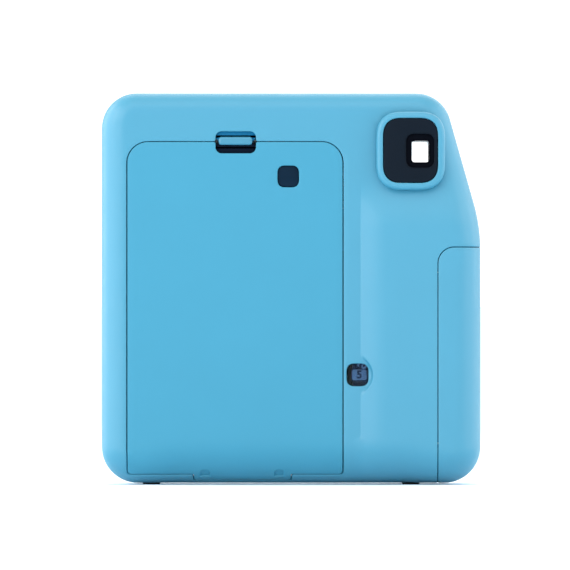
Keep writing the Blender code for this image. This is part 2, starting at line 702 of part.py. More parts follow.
def make_shutter(lens, plate):
    """Two crossing blades on pins, the plate that carries them and the rear element."""
    blades_front = plate - 1.4
    for name, side, front in (("shutter_blade_left", -1, blades_front),
                              ("shutter_blade_right", 1, blades_front - 0.8)):
        pivot = (LENS_X + side * BLADE_PIVOT, LENS_Z)
        far = LENS_X - side * 3.4
        ends = sorted((pivot[0] + side * 2.0, far))
        blade = prism(rectangle((ends[0], ends[1], LENS_Z - 3.4, LENS_Z + 3.4), 1.6, 3), "Y",
                      front - 0.45, front)
        blade = add_node(name, blade, "steel", (pivot[0], front, pivot[1]))
        shape(blade, cylinder(pivot, BLADE_PIN_RADIUS + GAP, "Y", front - 2.0, front + 2.0, 12))
    plate_front = blades_front - 1.6
    profile = ((5.6, plate_front - 2.0), (16.4, plate_front - 2.0), (16.4, plate_front - 0.6),
               (19.4, plate_front - 0.6), (19.4, plate_front), (5.6, plate_front))
    base = add_node("shutter_plate", turned(profile, lens, "Y", 24), "grey_plastic")
    for side in (-1, 1):
        pin = cylinder((LENS_X + side * BLADE_PIVOT, LENS_Z), BLADE_PIN_RADIUS, "Y", plate_front - 1.0,
                       blades_front + 0.1, 12)
        shape(base, pin, "UNION")
    rear = ((5.3, plate_front - 1.8), (5.3, plate_front - 0.6), (3.0, plate_front - 0.1))
    add_node("rear_lens", rod(rear, lens, "Y", 20), "glass")


# ---- pieces: film chamber and light path --------------------------------------------------
def make_main_frame():
    x = (CHAMBER_X[0] - TRAY_WALL, CHAMBER_X[1] + TRAY_WALL)
    z = (CHAMBER_Z[0] - TRAY_WALL, CHAMBER_Z[1] + TRAY_WALL)
    tray = add_node("main_frame", box(x, (TRAY_BACK, TRAY_FRONT), z), "dark_plastic", smooth=False)
    shape(tray, box(CHAMBER_X, (TRAY_BACK - 5.0, TRAY_FRONT - TRAY_WALL), CHAMBER_Z))
    gate_x = (LENS_X - GATE_HALF[0], LENS_X + GATE_HALF[0])
    shape(tray, box(gate_x, (TRAY_BACK - 5.0, 5.0), (LENS_Z - GATE_HALF[1], LENS_Z + GATE_HALF[1])))
    slot_x = (LENS_X - SLOT_HALF, LENS_X + SLOT_HALF)
    shape(tray, box(slot_x, (NIP_Y - 1.2, NIP_Y + 0.9), (CHAMBER_Z[1] - 2.0, CHAMBER_Z[1] + 5.0)))
    slot = box((x[0] - 5.0, CHAMBER_X[0] + 1.0), (CLAW_Y[0] + 0.7, CLAW_Y[1] + 0.3),
               (CLAW_Z[0] + 5.0, CLAW_Z[1] + CLAW_TRAVEL + 1.0))
    shape(tray, slot)


def make_film_claw():
    x = CHAMBER_X[0] - TRAY_WALL - GAP
    claw = add_node("film_claw", box((x - 1.2, x), CLAW_Y, CLAW_Z), "steel",
                    (x, CLAW_Y[0], CLAW_Z[0]), smooth=False)
    hook = box((x - 0.6, CHAMBER_X[0] + 0.3), (CLAW_Y[0] + 1.2, CLAW_Y[1] - 0.4),
               (CLAW_Z[0] + 7.0, CLAW_Z[0] + 9.0))
    shape(claw, hook, "UNION")


def make_light_box():
    """Hollow pyramid between the film gate and the lens mount."""
    back, front = TRAY_FRONT + GAP, LENS_HOUSING_BACK - 0.4
    wide = (GATE_HALF[0] + 1.8, GATE_HALF[1] + 1.8)
    narrow = (15.5, 15.5)
    bm = bmesh.new()
    loops = []
    for half, inset, y in ((wide, 0.0, back), (narrow, 0.0, front), (narrow, 1.3, front), (wide, 1.3, back)):
        u, v = half[0] - inset, half[1] - inset
        loops.append([bm.verts.new((LENS_X + sx * u, y, LENS_Z + sz * v))
                      for sx, sz in ((-1, -1), (1, -1), (1, 1), (-1, 1))])
    bridge(bm, loops + [loops[0]])
    add_node("light_box", close_solid(bm), "dark_plastic", smooth=False)


# ---- pieces: ejector ----------------------------------------------------------------------
ROLLER_GEAR = MODULE * ROLLER_TEETH / 2
IDLER_GEAR = MODULE * IDLER_TEETH / 2
PINION_GEAR = MODULE * PINION_TEETH / 2
REAR_ROLLER = Vector((NIP_Y - ROLLER_GEAR, ROLLER_Z))
FRONT_ROLLER = Vector((NIP_Y + ROLLER_GEAR, ROLLER_Z))
IDLER_REACH = ROLLER_GEAR + IDLER_GEAR
IDLER = FRONT_ROLLER + Vector((IDLER_FORWARD, -math.sqrt(IDLER_REACH ** 2 - IDLER_FORWARD ** 2)))
PINION = IDLER + Vector((0.0, -IDLER_GEAR - PINION_GEAR))
def meshing_phase(driver, driver_teeth, driver_phase, driven, driven_teeth):
    """Phase of a gear that puts one of its gaps where the driver has a tooth."""
    toward = math.atan2(driven.y - driver.y, driven.x - driver.x)
    tooth_offset = (toward - driver_phase) * driver_teeth / (2 * math.pi)
    back = toward + math.pi
    return back - 2 * math.pi / driven_teeth * (0.5 - tooth_offset)


def gear(name, centre, teeth, phase, bore):
    steps = 4 * teeth
    outline = gear_outline(centre, teeth, phase)
    hole = [Vector((centre.x + bore * math.cos(math.atan2(p.y - centre.y, p.x - centre.x)),
                    centre.y + bore * math.sin(math.atan2(p.y - centre.y, p.x - centre.x))))
            for p in outline[:steps]]
    return add_node(name, tube(outline, hole, "X", *GEAR_X), "white_plastic",
                    (GEAR_X[0], centre.x, centre.y), smooth=False)


def make_rollers():
    body = (BRACKET_X[0] + BRACKET_THICK + 0.4, BRACKET_X[1] - 0.4)
    for name, centre in (("rear_roller", REAR_ROLLER), ("front_roller", FRONT_ROLLER)):
        profile = ((AXLE_RADIUS, BRACKET_X[0] - 0.3), (AXLE_RADIUS, body[0]), (ROLLER_RADIUS, body[0]),
                   (ROLLER_RADIUS, body[1]), (AXLE_RADIUS, body[1]), (AXLE_RADIUS, GEAR_X[1] + 0.3))
        add_node(name, rod(profile, centre, "X", 20), "steel", (LENS_X, centre.x, centre.y))
    for name, x in (("roller_bracket_left", BRACKET_X[0]), ("roller_bracket_right", BRACKET_X[1])):
        low = CHAMBER_Z[1] + TRAY_WALL + GAP
        plate = box((x, x + BRACKET_THICK), (-17.5, -2.6), (low, 117.0))
        bracket = add_node(name, plate, "grey_plastic", smooth=False)
        for centre in (REAR_ROLLER, FRONT_ROLLER):
            shape(bracket, cylinder(centre, AXLE_RADIUS + GAP, "X", x - 5.0, x + 7.0, 16))


def make_gears():
    bore = AXLE_RADIUS + GAP
    front_phase = 0.0
    gear("front_roller_gear", FRONT_ROLLER, ROLLER_TEETH, front_phase, bore)
    rear_phase = meshing_phase(FRONT_ROLLER, ROLLER_TEETH, front_phase, REAR_ROLLER, ROLLER_TEETH)
    gear("rear_roller_gear", REAR_ROLLER, ROLLER_TEETH, rear_phase, bore)
    idler_phase = meshing_phase(FRONT_ROLLER, ROLLER_TEETH, front_phase, IDLER, IDLER_TEETH)
    gear("idler_gear", IDLER, IDLER_TEETH, idler_phase, bore)
    add_node("idler_pin", cylinder(IDLER, AXLE_RADIUS, "X", GEAR_X[0] - 1.0, GEAR_X[1] + 1.0, 16), "steel")
    pinion_phase = meshing_phase(IDLER, IDLER_TEETH, idler_phase, PINION, PINION_TEETH)
    gear("motor_pinion", PINION, PINION_TEETH, pinion_phase, SHAFT_RADIUS + GAP)
    add_node("motor_shaft", cylinder(PINION, SHAFT_RADIUS, "X", GEAR_X[0] - 0.3, 19.6, 12), "steel",
             (GEAR_X[0], PINION.x, PINION.y))
    profile = ((2.2, 19.9), (2.2, 20.6), (6.0, 20.6), (6.0, 43.0), (2.2, 43.0), (2.2, 43.8))
    add_node("drive_motor", rod(profile, PINION, "X", 24), "steel")


# ---- pieces: power and electronics --------------------------------------------------------
def make_power():
    low = BATTERY_BASE - 0.3
    high = BATTERY_BASE + 2 * BATTERY_LENGTH + 0.4
    half = BATTERY_RADIUS + 0.4
    outer_x = (BATTERY_X - half - 0.9, BATTERY_X + half + 0.9)
    floor = BATTERY_Y + BATTERY_RADIUS + GAP
    holder = add_node("battery_holder", box(outer_x, (-18.5, floor + 0.9), (low - 1.6, high + 2.0)),
                      "dark_plastic", smooth=False)
    shape(holder, box((BATTERY_X - half, BATTERY_X + half), (-40.0, floor), (low - 0.7, high + 1.1)))
    for name, base in (("battery_lower", BATTERY_BASE), ("battery_upper", BATTERY_BASE + BATTERY_LENGTH + 0.4)):
        r = BATTERY_RADIUS
        top = base + BATTERY_LENGTH
        profile = ((r, base), (r, top - 1.0), (3.0, top - 1.0), (3.0, top))
        add_node(name, rod(profile, (BATTERY_X, BATTERY_Y), "Z", 24), "cell_wrap")
    for name, z in (("battery_contact_lower", low - 0.4), ("battery_contact_upper", high + 0.4)):
        plate = box((BATTERY_X - 5.0, BATTERY_X + 5.0), (-18.0, -8.0), (z, z + 0.4))
        add_node(name, plate, "brass", smooth=False)
    door = add_node("battery_door", rear_half(), "blue_shell", (*BATTERY_HINGE, BATTERY_DOOR_TOP / 2))
    shape(door, battery_door_prism(0.0), "INTERSECT")
    add_node("circuit_board", box((12.0, 57.0), (5.8, 7.0), (16.0, 76.0)), "board_green", smooth=False)


def make_counter():
    window = rectangle(COUNTER_WINDOW, COUNTER_WINDOW_CORNER, 3)
    add_node("counter_window", prism(window, "Y", BACK_Y + 0.3, BACK_Y + 1.5), "clear_window")
    centre = (COUNTER_DIAL_X, (COUNTER_WINDOW[2] + COUNTER_WINDOW[3]) / 2)
    dial = tube(circle(centre, COUNTER_DIAL_RADIUS, 30), circle(centre, 1.6, 30), "Y",
                BACK_Y + WALL + 0.6, BACK_Y + WALL + 1.6)
    add_node("counter_dial", dial, "grey_plastic", (centre[0], BACK_Y + WALL, centre[1]))
    profile = ((1.2, BACK_Y + WALL + 0.4), (1.2, BACK_Y + WALL + 2.0), (4.0, BACK_Y + WALL + 2.0),
               (4.0, BACK_Y + WALL + 4.0))
    add_node("counter_post", rod(profile, centre, "Y", 16), "steel")


# ---- build --------------------------------------------------------------------------------
def clear_scene():
    for obj in list(bpy.data.objects):
        bpy.data.objects.remove(obj, do_unlink=True)


def build():
    clear_scene()
    make_rear_cover()
    make_front_cover()
    make_feet()
    make_case_screws()
    make_film_door()
    make_door_latch()
    make_finder()
    make_flash()
    make_sensor_window()
    make_shutter_button()
    make_lens_group()
    make_main_frame()
    make_film_claw()
    make_light_box()
    make_rollers()
    make_gears()
    make_power()
    make_counter()


build()
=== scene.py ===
"""Looks of the instant camera: fine case shells, glazing, lens and materials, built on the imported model."""
import bpy
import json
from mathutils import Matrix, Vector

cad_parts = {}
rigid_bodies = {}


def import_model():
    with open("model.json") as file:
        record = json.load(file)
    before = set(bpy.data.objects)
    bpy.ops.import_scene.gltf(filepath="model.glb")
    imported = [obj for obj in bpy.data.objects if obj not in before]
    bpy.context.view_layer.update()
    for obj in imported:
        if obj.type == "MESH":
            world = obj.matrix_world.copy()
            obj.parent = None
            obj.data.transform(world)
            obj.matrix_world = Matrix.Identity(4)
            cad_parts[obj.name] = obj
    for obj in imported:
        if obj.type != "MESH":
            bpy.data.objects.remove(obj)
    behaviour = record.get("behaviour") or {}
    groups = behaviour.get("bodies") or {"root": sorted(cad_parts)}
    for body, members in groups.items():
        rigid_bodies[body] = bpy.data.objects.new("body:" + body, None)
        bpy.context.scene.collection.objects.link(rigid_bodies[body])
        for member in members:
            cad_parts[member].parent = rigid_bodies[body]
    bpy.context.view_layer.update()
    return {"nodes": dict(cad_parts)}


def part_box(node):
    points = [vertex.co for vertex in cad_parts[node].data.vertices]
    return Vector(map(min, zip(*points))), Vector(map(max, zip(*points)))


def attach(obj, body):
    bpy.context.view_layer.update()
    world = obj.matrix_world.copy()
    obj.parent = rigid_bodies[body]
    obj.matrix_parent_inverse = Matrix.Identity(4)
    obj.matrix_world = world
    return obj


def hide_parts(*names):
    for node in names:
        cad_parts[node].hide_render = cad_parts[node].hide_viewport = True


for leftover in list(bpy.data.objects):
    bpy.data.objects.remove(leftover, do_unlink=True)

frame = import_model()

import json
import math

import bmesh
import numpy as np
from mathutils import Vector
from mathutils.geometry import delaunay_2d_cdt

# Lengths are millimetres until a mesh is written; +X right, +Y the way the lens points, +Z up.
MM = 0.001


def cad(node):
    """Lowest and highest corner of a CAD node in millimetres."""
    low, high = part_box(node)
    return np.array(low) / MM, np.array(high) / MM


# ---- dimensions that follow from the frame ------------------------------------------------
REAR_LOW, REAR_HIGH = cad("rear_cover")
FRONT_LOW, FRONT_HIGH = cad("front_cover")
DOOR_LOW, DOOR_HIGH = cad("film_door")
CELL_LOW, CELL_HIGH = cad("battery_door")
HALF_WIDTH = REAR_HIGH[0]
CASE_BOTTOM = REAR_LOW[2]
CASE_TOP = REAR_HIGH[2]
SURROUND_Y = REAR_LOW[1]
SPLIT_REAR = REAR_HIGH[1]
SPLIT_FRONT = FRONT_LOW[1]
BACK_Y = DOOR_LOW[1]
FRONT_Y = cad("lens_ring")[0][1] - 0.3
BACK_BULGE = BACK_Y - CELL_LOW[1]
FRONT_BULGE = FRONT_HIGH[1] - FRONT_Y
LENS = (cad("lens_ring")[0] + cad("lens_ring")[1]) / 2
WALL = 2.0

# The same case form as the CAD shells, see case_corners().
CORNER_RADII = (11.7, 11.7, 55.0, 11.35, 11.35)
SHOULDER_TOP_X = 49.2
SHOULDER_FOOT_Z = 83.8
BACK_EDGE = (8.0, 5.5, 14.0)
FRONT_EDGE = (8.0, 7.0, 8.0)
CREASE_X = 22.5
BACK_BULGE_WIDTH = 13.0
COUNTER_CUT = 3.5
COUNTER_CUT_Z = 35.6
FRONT_BULGE_WIDTH = 16.0
BULGE_FADE = (84.0, 100.0)
EASE_LENGTH = 14.0
SEAM = 0.3
SOFT_POWER = 2.6              # exponent of the superelliptic corners


# ---- outlines in the plane of the back: anticlockwise (n, 2) arrays -----------------------
def filleted(corners, radii, arc_step=0.35):
    """Polygon with round corners, turning either way; arc_step is the length of an arc's chords."""
    points = []
    count = len(corners)
    for index, corner in enumerate(corners):
        here = np.array(corner, float)
        before = here - np.array(corners[index - 1], float)
        after = np.array(corners[(index + 1) % count], float) - here
        before /= np.linalg.norm(before)
        after /= np.linalg.norm(after)
        turn = math.atan2(before[0] * after[1] - before[1] * after[0], float(before @ after))
        radius = radii[index]
        start = here - before * radius * math.tan(abs(turn) / 2)
        side = math.copysign(1.0, turn)
        left = np.array((-before[1], before[0])) * side
        steps = max(3, math.ceil(radius * abs(turn) / arc_step))
        for step in range(steps + 1):
            angle = abs(turn) * step / steps
            points.append(start + left * radius * (1 - math.cos(angle)) + before * radius * math.sin(angle))
    return np.array(points)


def rectangle(bounds, radius, grow=0.0, arc_step=0.35):
    u0, u1, v0, v1 = bounds[0] - grow, bounds[1] + grow, bounds[2] - grow, bounds[3] + grow
    corners = ((u0, v0), (u1, v0), (u1, v1), (u0, v1))
    return filleted(corners, (radius + grow,) * 4, arc_step)


def soft_rectangle(bounds, radius, grow=0.0, steps=14):
    """Rectangle whose corners are superelliptic, reaching radius along each side."""
    u0, u1, v0, v1 = bounds
    power = 2 / SOFT_POWER
    reach = radius + grow
    points = []
    for side_u, side_v, flip in ((1, -1, True), (1, 1, False), (-1, 1, True), (-1, -1, False)):
        corner = []
        for step in range(steps + 1):
            angle = math.pi / 2 * step / steps
            u = reach * (math.cos(angle) ** power - 1)
            v = reach * (math.sin(angle) ** power - 1)
            corner_u = u1 + grow if side_u > 0 else u0 - grow
            corner_v = v1 + grow if side_v > 0 else v0 - grow
            corner.append((corner_u + side_u * u, corner_v + side_v * v))
        points += corner[::-1] if flip else corner
    return np.array(points)


def circle(centre, radius, count=40):
    angles = np.linspace(0, 2 * math.pi, count, endpoint=False)
    return np.stack((centre[0] + radius * np.cos(angles), centre[1] + radius * np.sin(angles)), 1)


def dense(points, step):
    """The same loop with its long edges divided."""
    result = []
    for here, after in zip(points, np.roll(points, -1, axis=0)):
        count = max(1, math.ceil(np.linalg.norm(after - here) / step))
        result += [here + (after - here) * k / count for k in range(count)]
    return np.array(result)


def offset(points, distance):
    """Loop moved outward by distance, mitred at its corners."""
    edges = np.roll(points, -1, axis=0) - points
    edges /= np.linalg.norm(edges, axis=1)[:, None]
    normals = np.stack((edges[:, 1], -edges[:, 0]), 1)
    both = normals + np.roll(normals, 1, axis=0)
    both /= np.linalg.norm(both, axis=1)[:, None]
    stretch = 1 / np.maximum((both * normals).sum(1), 0.5)
    return points + both * (distance * stretch)[:, None]


def ease(value):
    value = np.clip(value, 0.0, 1.0)
    return value * value * (3 - 2 * value)


# ---- the case form, unrolled --------------------------------------------------------------
def case_corners():
    return ((-HALF_WIDTH, CASE_BOTTOM), (HALF_WIDTH, CASE_BOTTOM), (HALF_WIDTH, SHOULDER_FOOT_Z),
            (SHOULDER_TOP_X, CASE_TOP), (-HALF_WIDTH, CASE_TOP))


def cut_aside(z):
    """How far the counter's cut-out pushes the edge of the swelling to the right at height z."""
    share = 1.0 - np.abs((z - COUNTER_CUT_Z) / 6.0) ** 2.2
    return COUNTER_CUT * 0.5 * (share + np.sqrt(share * share + 0.004))


def back_bulge(x, z):
    """Swelling of the back to the right of the crease, cut away round the counter window."""
    past = x - CREASE_X
    past = 0.5 * (past + np.sqrt(past * past + 0.05))
    rise = 1.0 - (1.0 - np.clip(past / BACK_BULGE_WIDTH, 0, 1)) ** 2.6
    fade = 1.0 - ease((z - BULGE_FADE[0]) / (BULGE_FADE[1] - BULGE_FADE[0]))
    cut = ease((x - CREASE_X - cut_aside(z)) / 0.9 + 0.3)
    return BACK_BULGE * rise * fade * cut


def front_bulge(x, z):
    return FRONT_BULGE * ease((x - CREASE_X) / FRONT_BULGE_WIDTH)


class Form:
    """Outside of one case half. A flat sheet stands for it: over the flat face, sheet and case
    agree, and beyond it the sheet is laid round the rounded edge and along the side wall."""

    def __init__(self, face_y, outward, radii, bulge, split):
        self.face_y = face_y
        self.outward = outward
        self.radii = radii
        self.bulge = bulge
        self.height = abs(split - face_y)
        self.arcs = []
        self.edges = []
        corners = [np.array(c, float) for c in case_corners()]
        starts, ends = [], []
        for index, here in enumerate(corners):
            before = here - corners[index - 1]
            after = corners[(index + 1) % len(corners)] - here
            before /= np.linalg.norm(before)
            after /= np.linalg.norm(after)
            turn = math.acos(float(before @ after))
            radius = CORNER_RADII[index]
            start = here - before * radius * math.tan(turn / 2)
            centre = start + np.array((-before[1], before[0])) * radius
            self.arcs.append((centre, radius, before, after, turn))
            starts.append(start)
            ends.append(here + after * radius * math.tan(turn / 2))
        for index in range(len(corners)):
            self.edges.append((ends[index], starts[(index + 1) % len(corners)]))

    def nearest(self, points):
        """Distance inside the outline, and the inward normal there, for (n, 2) points."""
        best = np.full(len(points), 1e9)
        normal = np.zeros((len(points), 2))
        for start, end in self.edges:
            along = (end - start) / np.linalg.norm(end - start)
            inward = np.array((-along[1], along[0]))
            distance = (points - start) @ inward
            place = (points - start) @ along
            take = (place >= -1e-6) & (place <= np.linalg.norm(end - start) + 1e-6) & (distance < best)
            best[take] = distance[take]
            normal[take] = inward
        for centre, radius, before, after, _ in self.arcs:
            spoke = points - centre
            length = np.linalg.norm(spoke, axis=1)
            distance = radius - length
            take = (spoke @ before >= -1e-9) & (spoke @ after <= 1e-9) & (distance < best)
            best[take] = distance[take]
            normal[take] = -spoke[take] / length[take, None]
        return best, normal

    def edge_radius(self, normal, foot):
        """Rounding of the edge at a point of the outline; the bottom's eases off at its ends."""
        side, top, bottom = self.radii
        lower = min(bottom, CORNER_RADII[0] - 0.1)
        start = HALF_WIDTH - CORNER_RADII[0]
        bottom = lower + (bottom - lower) * ease((start - np.abs(foot[:, 0])) / EASE_LENGTH)
        vertical = np.where(normal[:, 1] < 0, top, bottom)
        return side * normal[:, 0] ** 2 + vertical * normal[:, 1] ** 2

    def place(self, sheet, depth):
        """Points in space for points of the sheet, sunk below the surface by depth."""
        distance, normal = self.nearest(sheet)
        foot = sheet - normal * distance[:, None]
        radius = self.edge_radius(normal, foot)
        past = radius - distance
        angle = math.pi / 2 - np.clip(past / radius, 0, math.pi / 2)
        small = radius - depth
        inward = np.where(past > 0, radius - small * np.cos(angle), distance)
        flat = foot + normal * inward[:, None]
        swell = self.bulge(flat[:, 0], flat[:, 1]) * np.sin(angle)
        down = np.where(past > 0, radius - small * np.sin(angle), depth)
        down = down + np.maximum(past - radius * math.pi / 2, 0)
        y = self.face_y + self.outward * (swell - down)
        return np.stack((flat[:, 0], y, flat[:, 1]), 1)

    def unroll(self, seen):
        """Points of the sheet for points seen from straight behind (or in front)."""
        distance, normal = self.nearest(seen)
        foot = seen - normal * distance[:, None]
        radius = self.edge_radius(normal, foot)
        angle = np.arccos(np.clip(1 - distance / radius, -1, 1))
        out = np.where(distance < radius, radius - radius * (math.pi / 2 - angle), distance)
        return foot + normal * out[:, None]

    def wall_point(self, seen, y):
        """Point of the sheet on the side wall at height y, beside an outline point."""
        seen = np.array([seen], float)
        distance, normal = self.nearest(seen)
        foot = seen - normal * distance[:, None]
        radius = self.edge_radius(normal, foot)
        past = radius * math.pi / 2 + abs(y - self.face_y) - radius
        return (foot - normal * (past - radius)[:, None])[0]

    def outline(self, past_rim=None, share=None, step=2.6):
        """Loop of the sheet: the rim, or a share of the way round the rounded edge, or a distance
        down the side wall from the end of the rounding."""
        points = []
        for (centre, radius, before, after, turn), (start, end) in zip(self.arcs, self.edges):
            steps = max(8, math.ceil(radius * turn / 1.3))
            for k in range(steps + 1):
                angle = turn * k / steps
                out = np.array((before[1], -before[0])) * math.cos(angle) + before * math.sin(angle)
                points.append((centre + out * radius, -out))
            count = math.ceil(np.linalg.norm(end - start) / step)
            inward = np.array((-(end - start)[1], (end - start)[0])) / np.linalg.norm(end - start)
            points += [(start + (end - start) * k / count, inward) for k in range(1, count)]
        feet = np.array([p for p, _ in points])
        normal = np.array([n for _, n in points])
        radius = self.edge_radius(normal, feet)
        if share is not None:
            past = radius * math.pi / 2 * share
        elif past_rim is not None:
            past = radius * math.pi / 2 + past_rim
        else:
            past = radius * math.pi / 2 + self.height - radius
        return feet - normal * (past - radius)[:, None]


REAR = Form(BACK_Y, -1.0, BACK_EDGE, back_bulge, SPLIT_REAR)
FRONT = Form(FRONT_Y, 1.0, FRONT_EDGE, front_bulge, SPLIT_FRONT)


# ---- meshes -------------------------------------------------------------------------------
def add_piece(name, vertices, faces, material, body, replaces=(), sharp=35.0):
    """Mesh object from millimetre points, riding on a CAD body."""
    mesh = bpy.data.meshes.new(name)
    places = [tuple(float(c) * MM for c in vertex) for vertex in vertices]
    mesh.from_pydata(places, [], [tuple(map(int, face)) for face in faces])
    mesh.validate()
    obj = bpy.data.objects.new(name, mesh)
    bpy.context.scene.collection.objects.link(obj)
    mesh.materials.append(material)
    mesh.shade_smooth()
    mesh.set_sharp_from_angle(angle=math.radians(sharp))
    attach(obj, body)
    if replaces:
        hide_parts(*replaces)
    return obj


def inside(points, loop):
    """Which points lie inside a loop, by crossings."""
    result = np.zeros(len(points), bool)
    ends = np.roll(loop, -1, axis=0)
    for (x0, y0), (x1, y1) in zip(loop, ends):
        if y0 == y1:
            continue
        crosses = (points[:, 1] < y0) != (points[:, 1] < y1)
        at = x0 + (points[:, 1] - y0) * (x1 - x0) / (y1 - y0)
        result ^= crosses & (points[:, 0] < at)
    return result


def distance_to(points, loop):
    """Distance of each point from a loop's edges."""
    best = np.full(len(points), 1e9)
    for start, end in zip(loop, np.roll(loop, -1, axis=0)):
        edge = end - start
        share = np.clip(((points - start) @ edge) / max(edge @ edge, 1e-12), 0, 1)
        best = np.minimum(best, np.linalg.norm(points - start - share[:, None] * edge, axis=1))
    return best


def round_over(radius, steps=4):
    """Profile of a rounded edge: (distance from the edge, depth) pairs."""
    angles = [math.pi / 2 * k / steps for k in range(steps + 1)]
    return [(radius * (1 - math.sin(a)), radius * (1 - math.cos(a))) for a in angles]


def panel(name, form, outer, holes, shapes, free, material, body, replaces=(), edge=0.35,
          wall=WALL, sharp=32.0):
    """Moulded panel of even wall on a case form, with rounded seam edges.

    outer and holes are loops on the sheet; holes hold (loop, edge radius). shapes are recesses and
    raised pads: (loop, [(distance outside the loop, depth), ...], depth inside)."""
    points, depths, edges = [], [], []

    def add_loop(loop, depth):
        first = len(points)
        points.extend(loop)
        depths.extend([depth] * len(loop))
        edges.extend((first + k, first + (k + 1) % len(loop)) for k in range(len(loop)))

    guards = []
    for away, depth in round_over(edge):
        add_loop(offset(outer, -away), depth)
    guards.append(outer)
    for loop, radius in holes:
        for away, depth in round_over(radius, 3):
            add_loop(offset(loop, away), depth)
        guards.append(loop)
    for loop, profile, _ in shapes:
        for away, depth in profile:
            add_loop(offset(loop, away), depth)
            guards.append(offset(loop, away))
    keep = inside(free, outer)
    for guard in guards:
        keep &= distance_to(free, guard) > 0.75
    for loop, _ in holes:
        keep &= ~inside(free, loop)
    free = free[keep]
    sunk = np.zeros(len(free))
    for loop, profile, floor in shapes:
        sunk[inside(free, offset(loop, profile[-1][0]))] = floor
    points.extend(free)
    depths.extend(sunk)
    flat, _, faces, origins, _, _ = delaunay_2d_cdt([Vector(p) for p in points], edges, [], 0, 1e-5)
    sheet = np.array([tuple(p) for p in flat])
    faces = np.array([f for f in faces if len(f) == 3])
    depth = np.array([depths[o[0]] if o else 0.0 for o in origins])
    middle = sheet[faces].mean(1)
    keep = inside(middle, outer)
    for loop, _ in holes:
        keep &= ~inside(middle, loop)
    faces = faces[keep]
    used = np.unique(faces)
    order = np.full(len(sheet), -1)
    order[used] = np.arange(len(used))
    faces = order[faces]
    sheet, depth = sheet[used], depth[used]
    top = form.place(sheet, depth)
    under = form.place(sheet, np.full(len(sheet), wall))
    count = len(sheet)
    pairs = np.concatenate([faces[:, [0, 1]], faces[:, [1, 2]], faces[:, [2, 0]]])
    known = {tuple(p) for p in pairs}
    rim = [(a, b) for a, b in known if (b, a) not in known]
    solid = [tuple(f) for f in faces] + [tuple(f[::-1] + count) for f in faces]
    solid += [(b, a, a + count, b + count) for a, b in rim]
    if form.outward > 0:
        solid = [tuple(reversed(f)) for f in solid]
    return add_piece(name, np.concatenate([top, under]), solid, material, body, replaces, sharp)


def prism(name, loop, y0, y1, material, body, replaces=(), edge=0.3, axis_out=-1.0, steps=3):
    """Flat-ended piece along Y whose outward end (the one on the side of axis_out) is rounded over."""
    rings = []
    outer, inner = (y0, y1) if axis_out < 0 else (y1, y0)
    for away, depth in round_over(edge, steps):
        ring = offset(loop, -away)
        rings.append(np.stack((ring[:, 0], np.full(len(ring), outer - axis_out * depth), ring[:, 1]), 1))
    rings.append(np.stack((loop[:, 0], np.full(len(loop), inner), loop[:, 1]), 1))
    count = len(loop)
    faces = [tuple(range(count)), tuple(reversed(range(count * (len(rings) - 1), count * len(rings))))]
    for k in range(len(rings) - 1):
        for i in range(count):
            j = (i + 1) % count
            faces.append((k * count + j, k * count + i, (k + 1) * count + i, (k + 1) * count + j))
    if axis_out > 0:
        faces = [tuple(reversed(f)) for f in faces]
    return add_piece(name, np.concatenate(rings), faces, material, body, replaces)


def turned(name, profile, centre, material, body, replaces=(), steps=128, wave=None, sharp=35.0):
    """Closed profile of (radius, y) points turned about the lens axis through centre (x, z)."""
    vertices, faces = [], []
    count = len(profile)
    for k in range(steps):
        angle = 2 * math.pi * k / steps
        for radius, y in profile:
            if wave:
                radius = wave(radius, y, angle)
            vertices.append((centre[0] + radius * math.cos(angle), y, centre[1] + radius * math.sin(angle)))
    for k in range(steps):
        for i in range(count):
            j, n = (i + 1) % count, (k + 1) % steps
            faces.append((k * count + i, k * count + j, n * count + j, n * count + i))
    obj = add_piece(name, vertices, faces, material, body, replaces, sharp)
    face_out(obj)
    return obj


def face_out(obj):
    bm = bmesh.new()
    bm.from_mesh(obj.data)
    bmesh.ops.recalc_face_normals(bm, faces=bm.faces)
    bm.to_mesh(obj.data)
    bm.free()


def arc_profile(points, radii, steps=5):
    """Closed (radius, y) profile with its corners rounded."""
    return [tuple(p) for p in filleted(points, radii, max(radii) / steps)]


def loft(name, rings, material, body, replaces):
    """Ring-shaped body through (loop, y) pairs of equal count, each a cross section's corner."""
    count = len(rings[0][0])
    vertices = np.concatenate([np.stack((r[:, 0], np.full(count, y), r[:, 1]), 1) for r, y in rings])
    faces = []
    for k in range(len(rings)):
        n = (k + 1) % len(rings)
        for i in range(count):
            j = (i + 1) % count
            faces.append((k * count + i, k * count + j, n * count + j, n * count + i))
    obj = add_piece(name, vertices, faces, material, body, replaces)
    face_out(obj)
    return obj


# ---- materials ----------------------------------------------------------------------------
def srgb(red, green, blue):
    """Linear colour from 0-255 display values."""
    def linear(value):
        value /= 255
        return value / 12.92 if value <= 0.04045 else ((value + 0.055) / 1.055) ** 2.4
    return (linear(red), linear(green), linear(blue), 1.0)


def new_material(name):
    material = bpy.data.materials.new(name)
    material.use_nodes = True
    nodes = material.node_tree.nodes
    return material, nodes, material.node_tree.links, nodes["Principled BSDF"]


def noise(nodes, links, scale, detail=4.0, rough=0.5):
    """Noise texture on object coordinates, in metres."""
    where = nodes.new("ShaderNodeTexCoord")
    texture = nodes.new("ShaderNodeTexNoise")
    texture.inputs["Scale"].default_value = scale
    texture.inputs["Detail"].default_value = detail
    texture.inputs["Roughness"].default_value = rough
    links.new(where.outputs["Object"], texture.inputs["Vector"])
    return texture


def ramp(nodes, links, source, stops):
    node = nodes.new("ShaderNodeValToRGB")
    while len(node.color_ramp.elements) < len(stops):
        node.color_ramp.elements.new(0.5)
    for element, (place, colour) in zip(node.color_ramp.elements, stops):
        element.position = place
        element.color = colour
    links.new(source, node.inputs["Fac"])
    return node


def grey(value):
    return (value, value, value, 1.0)


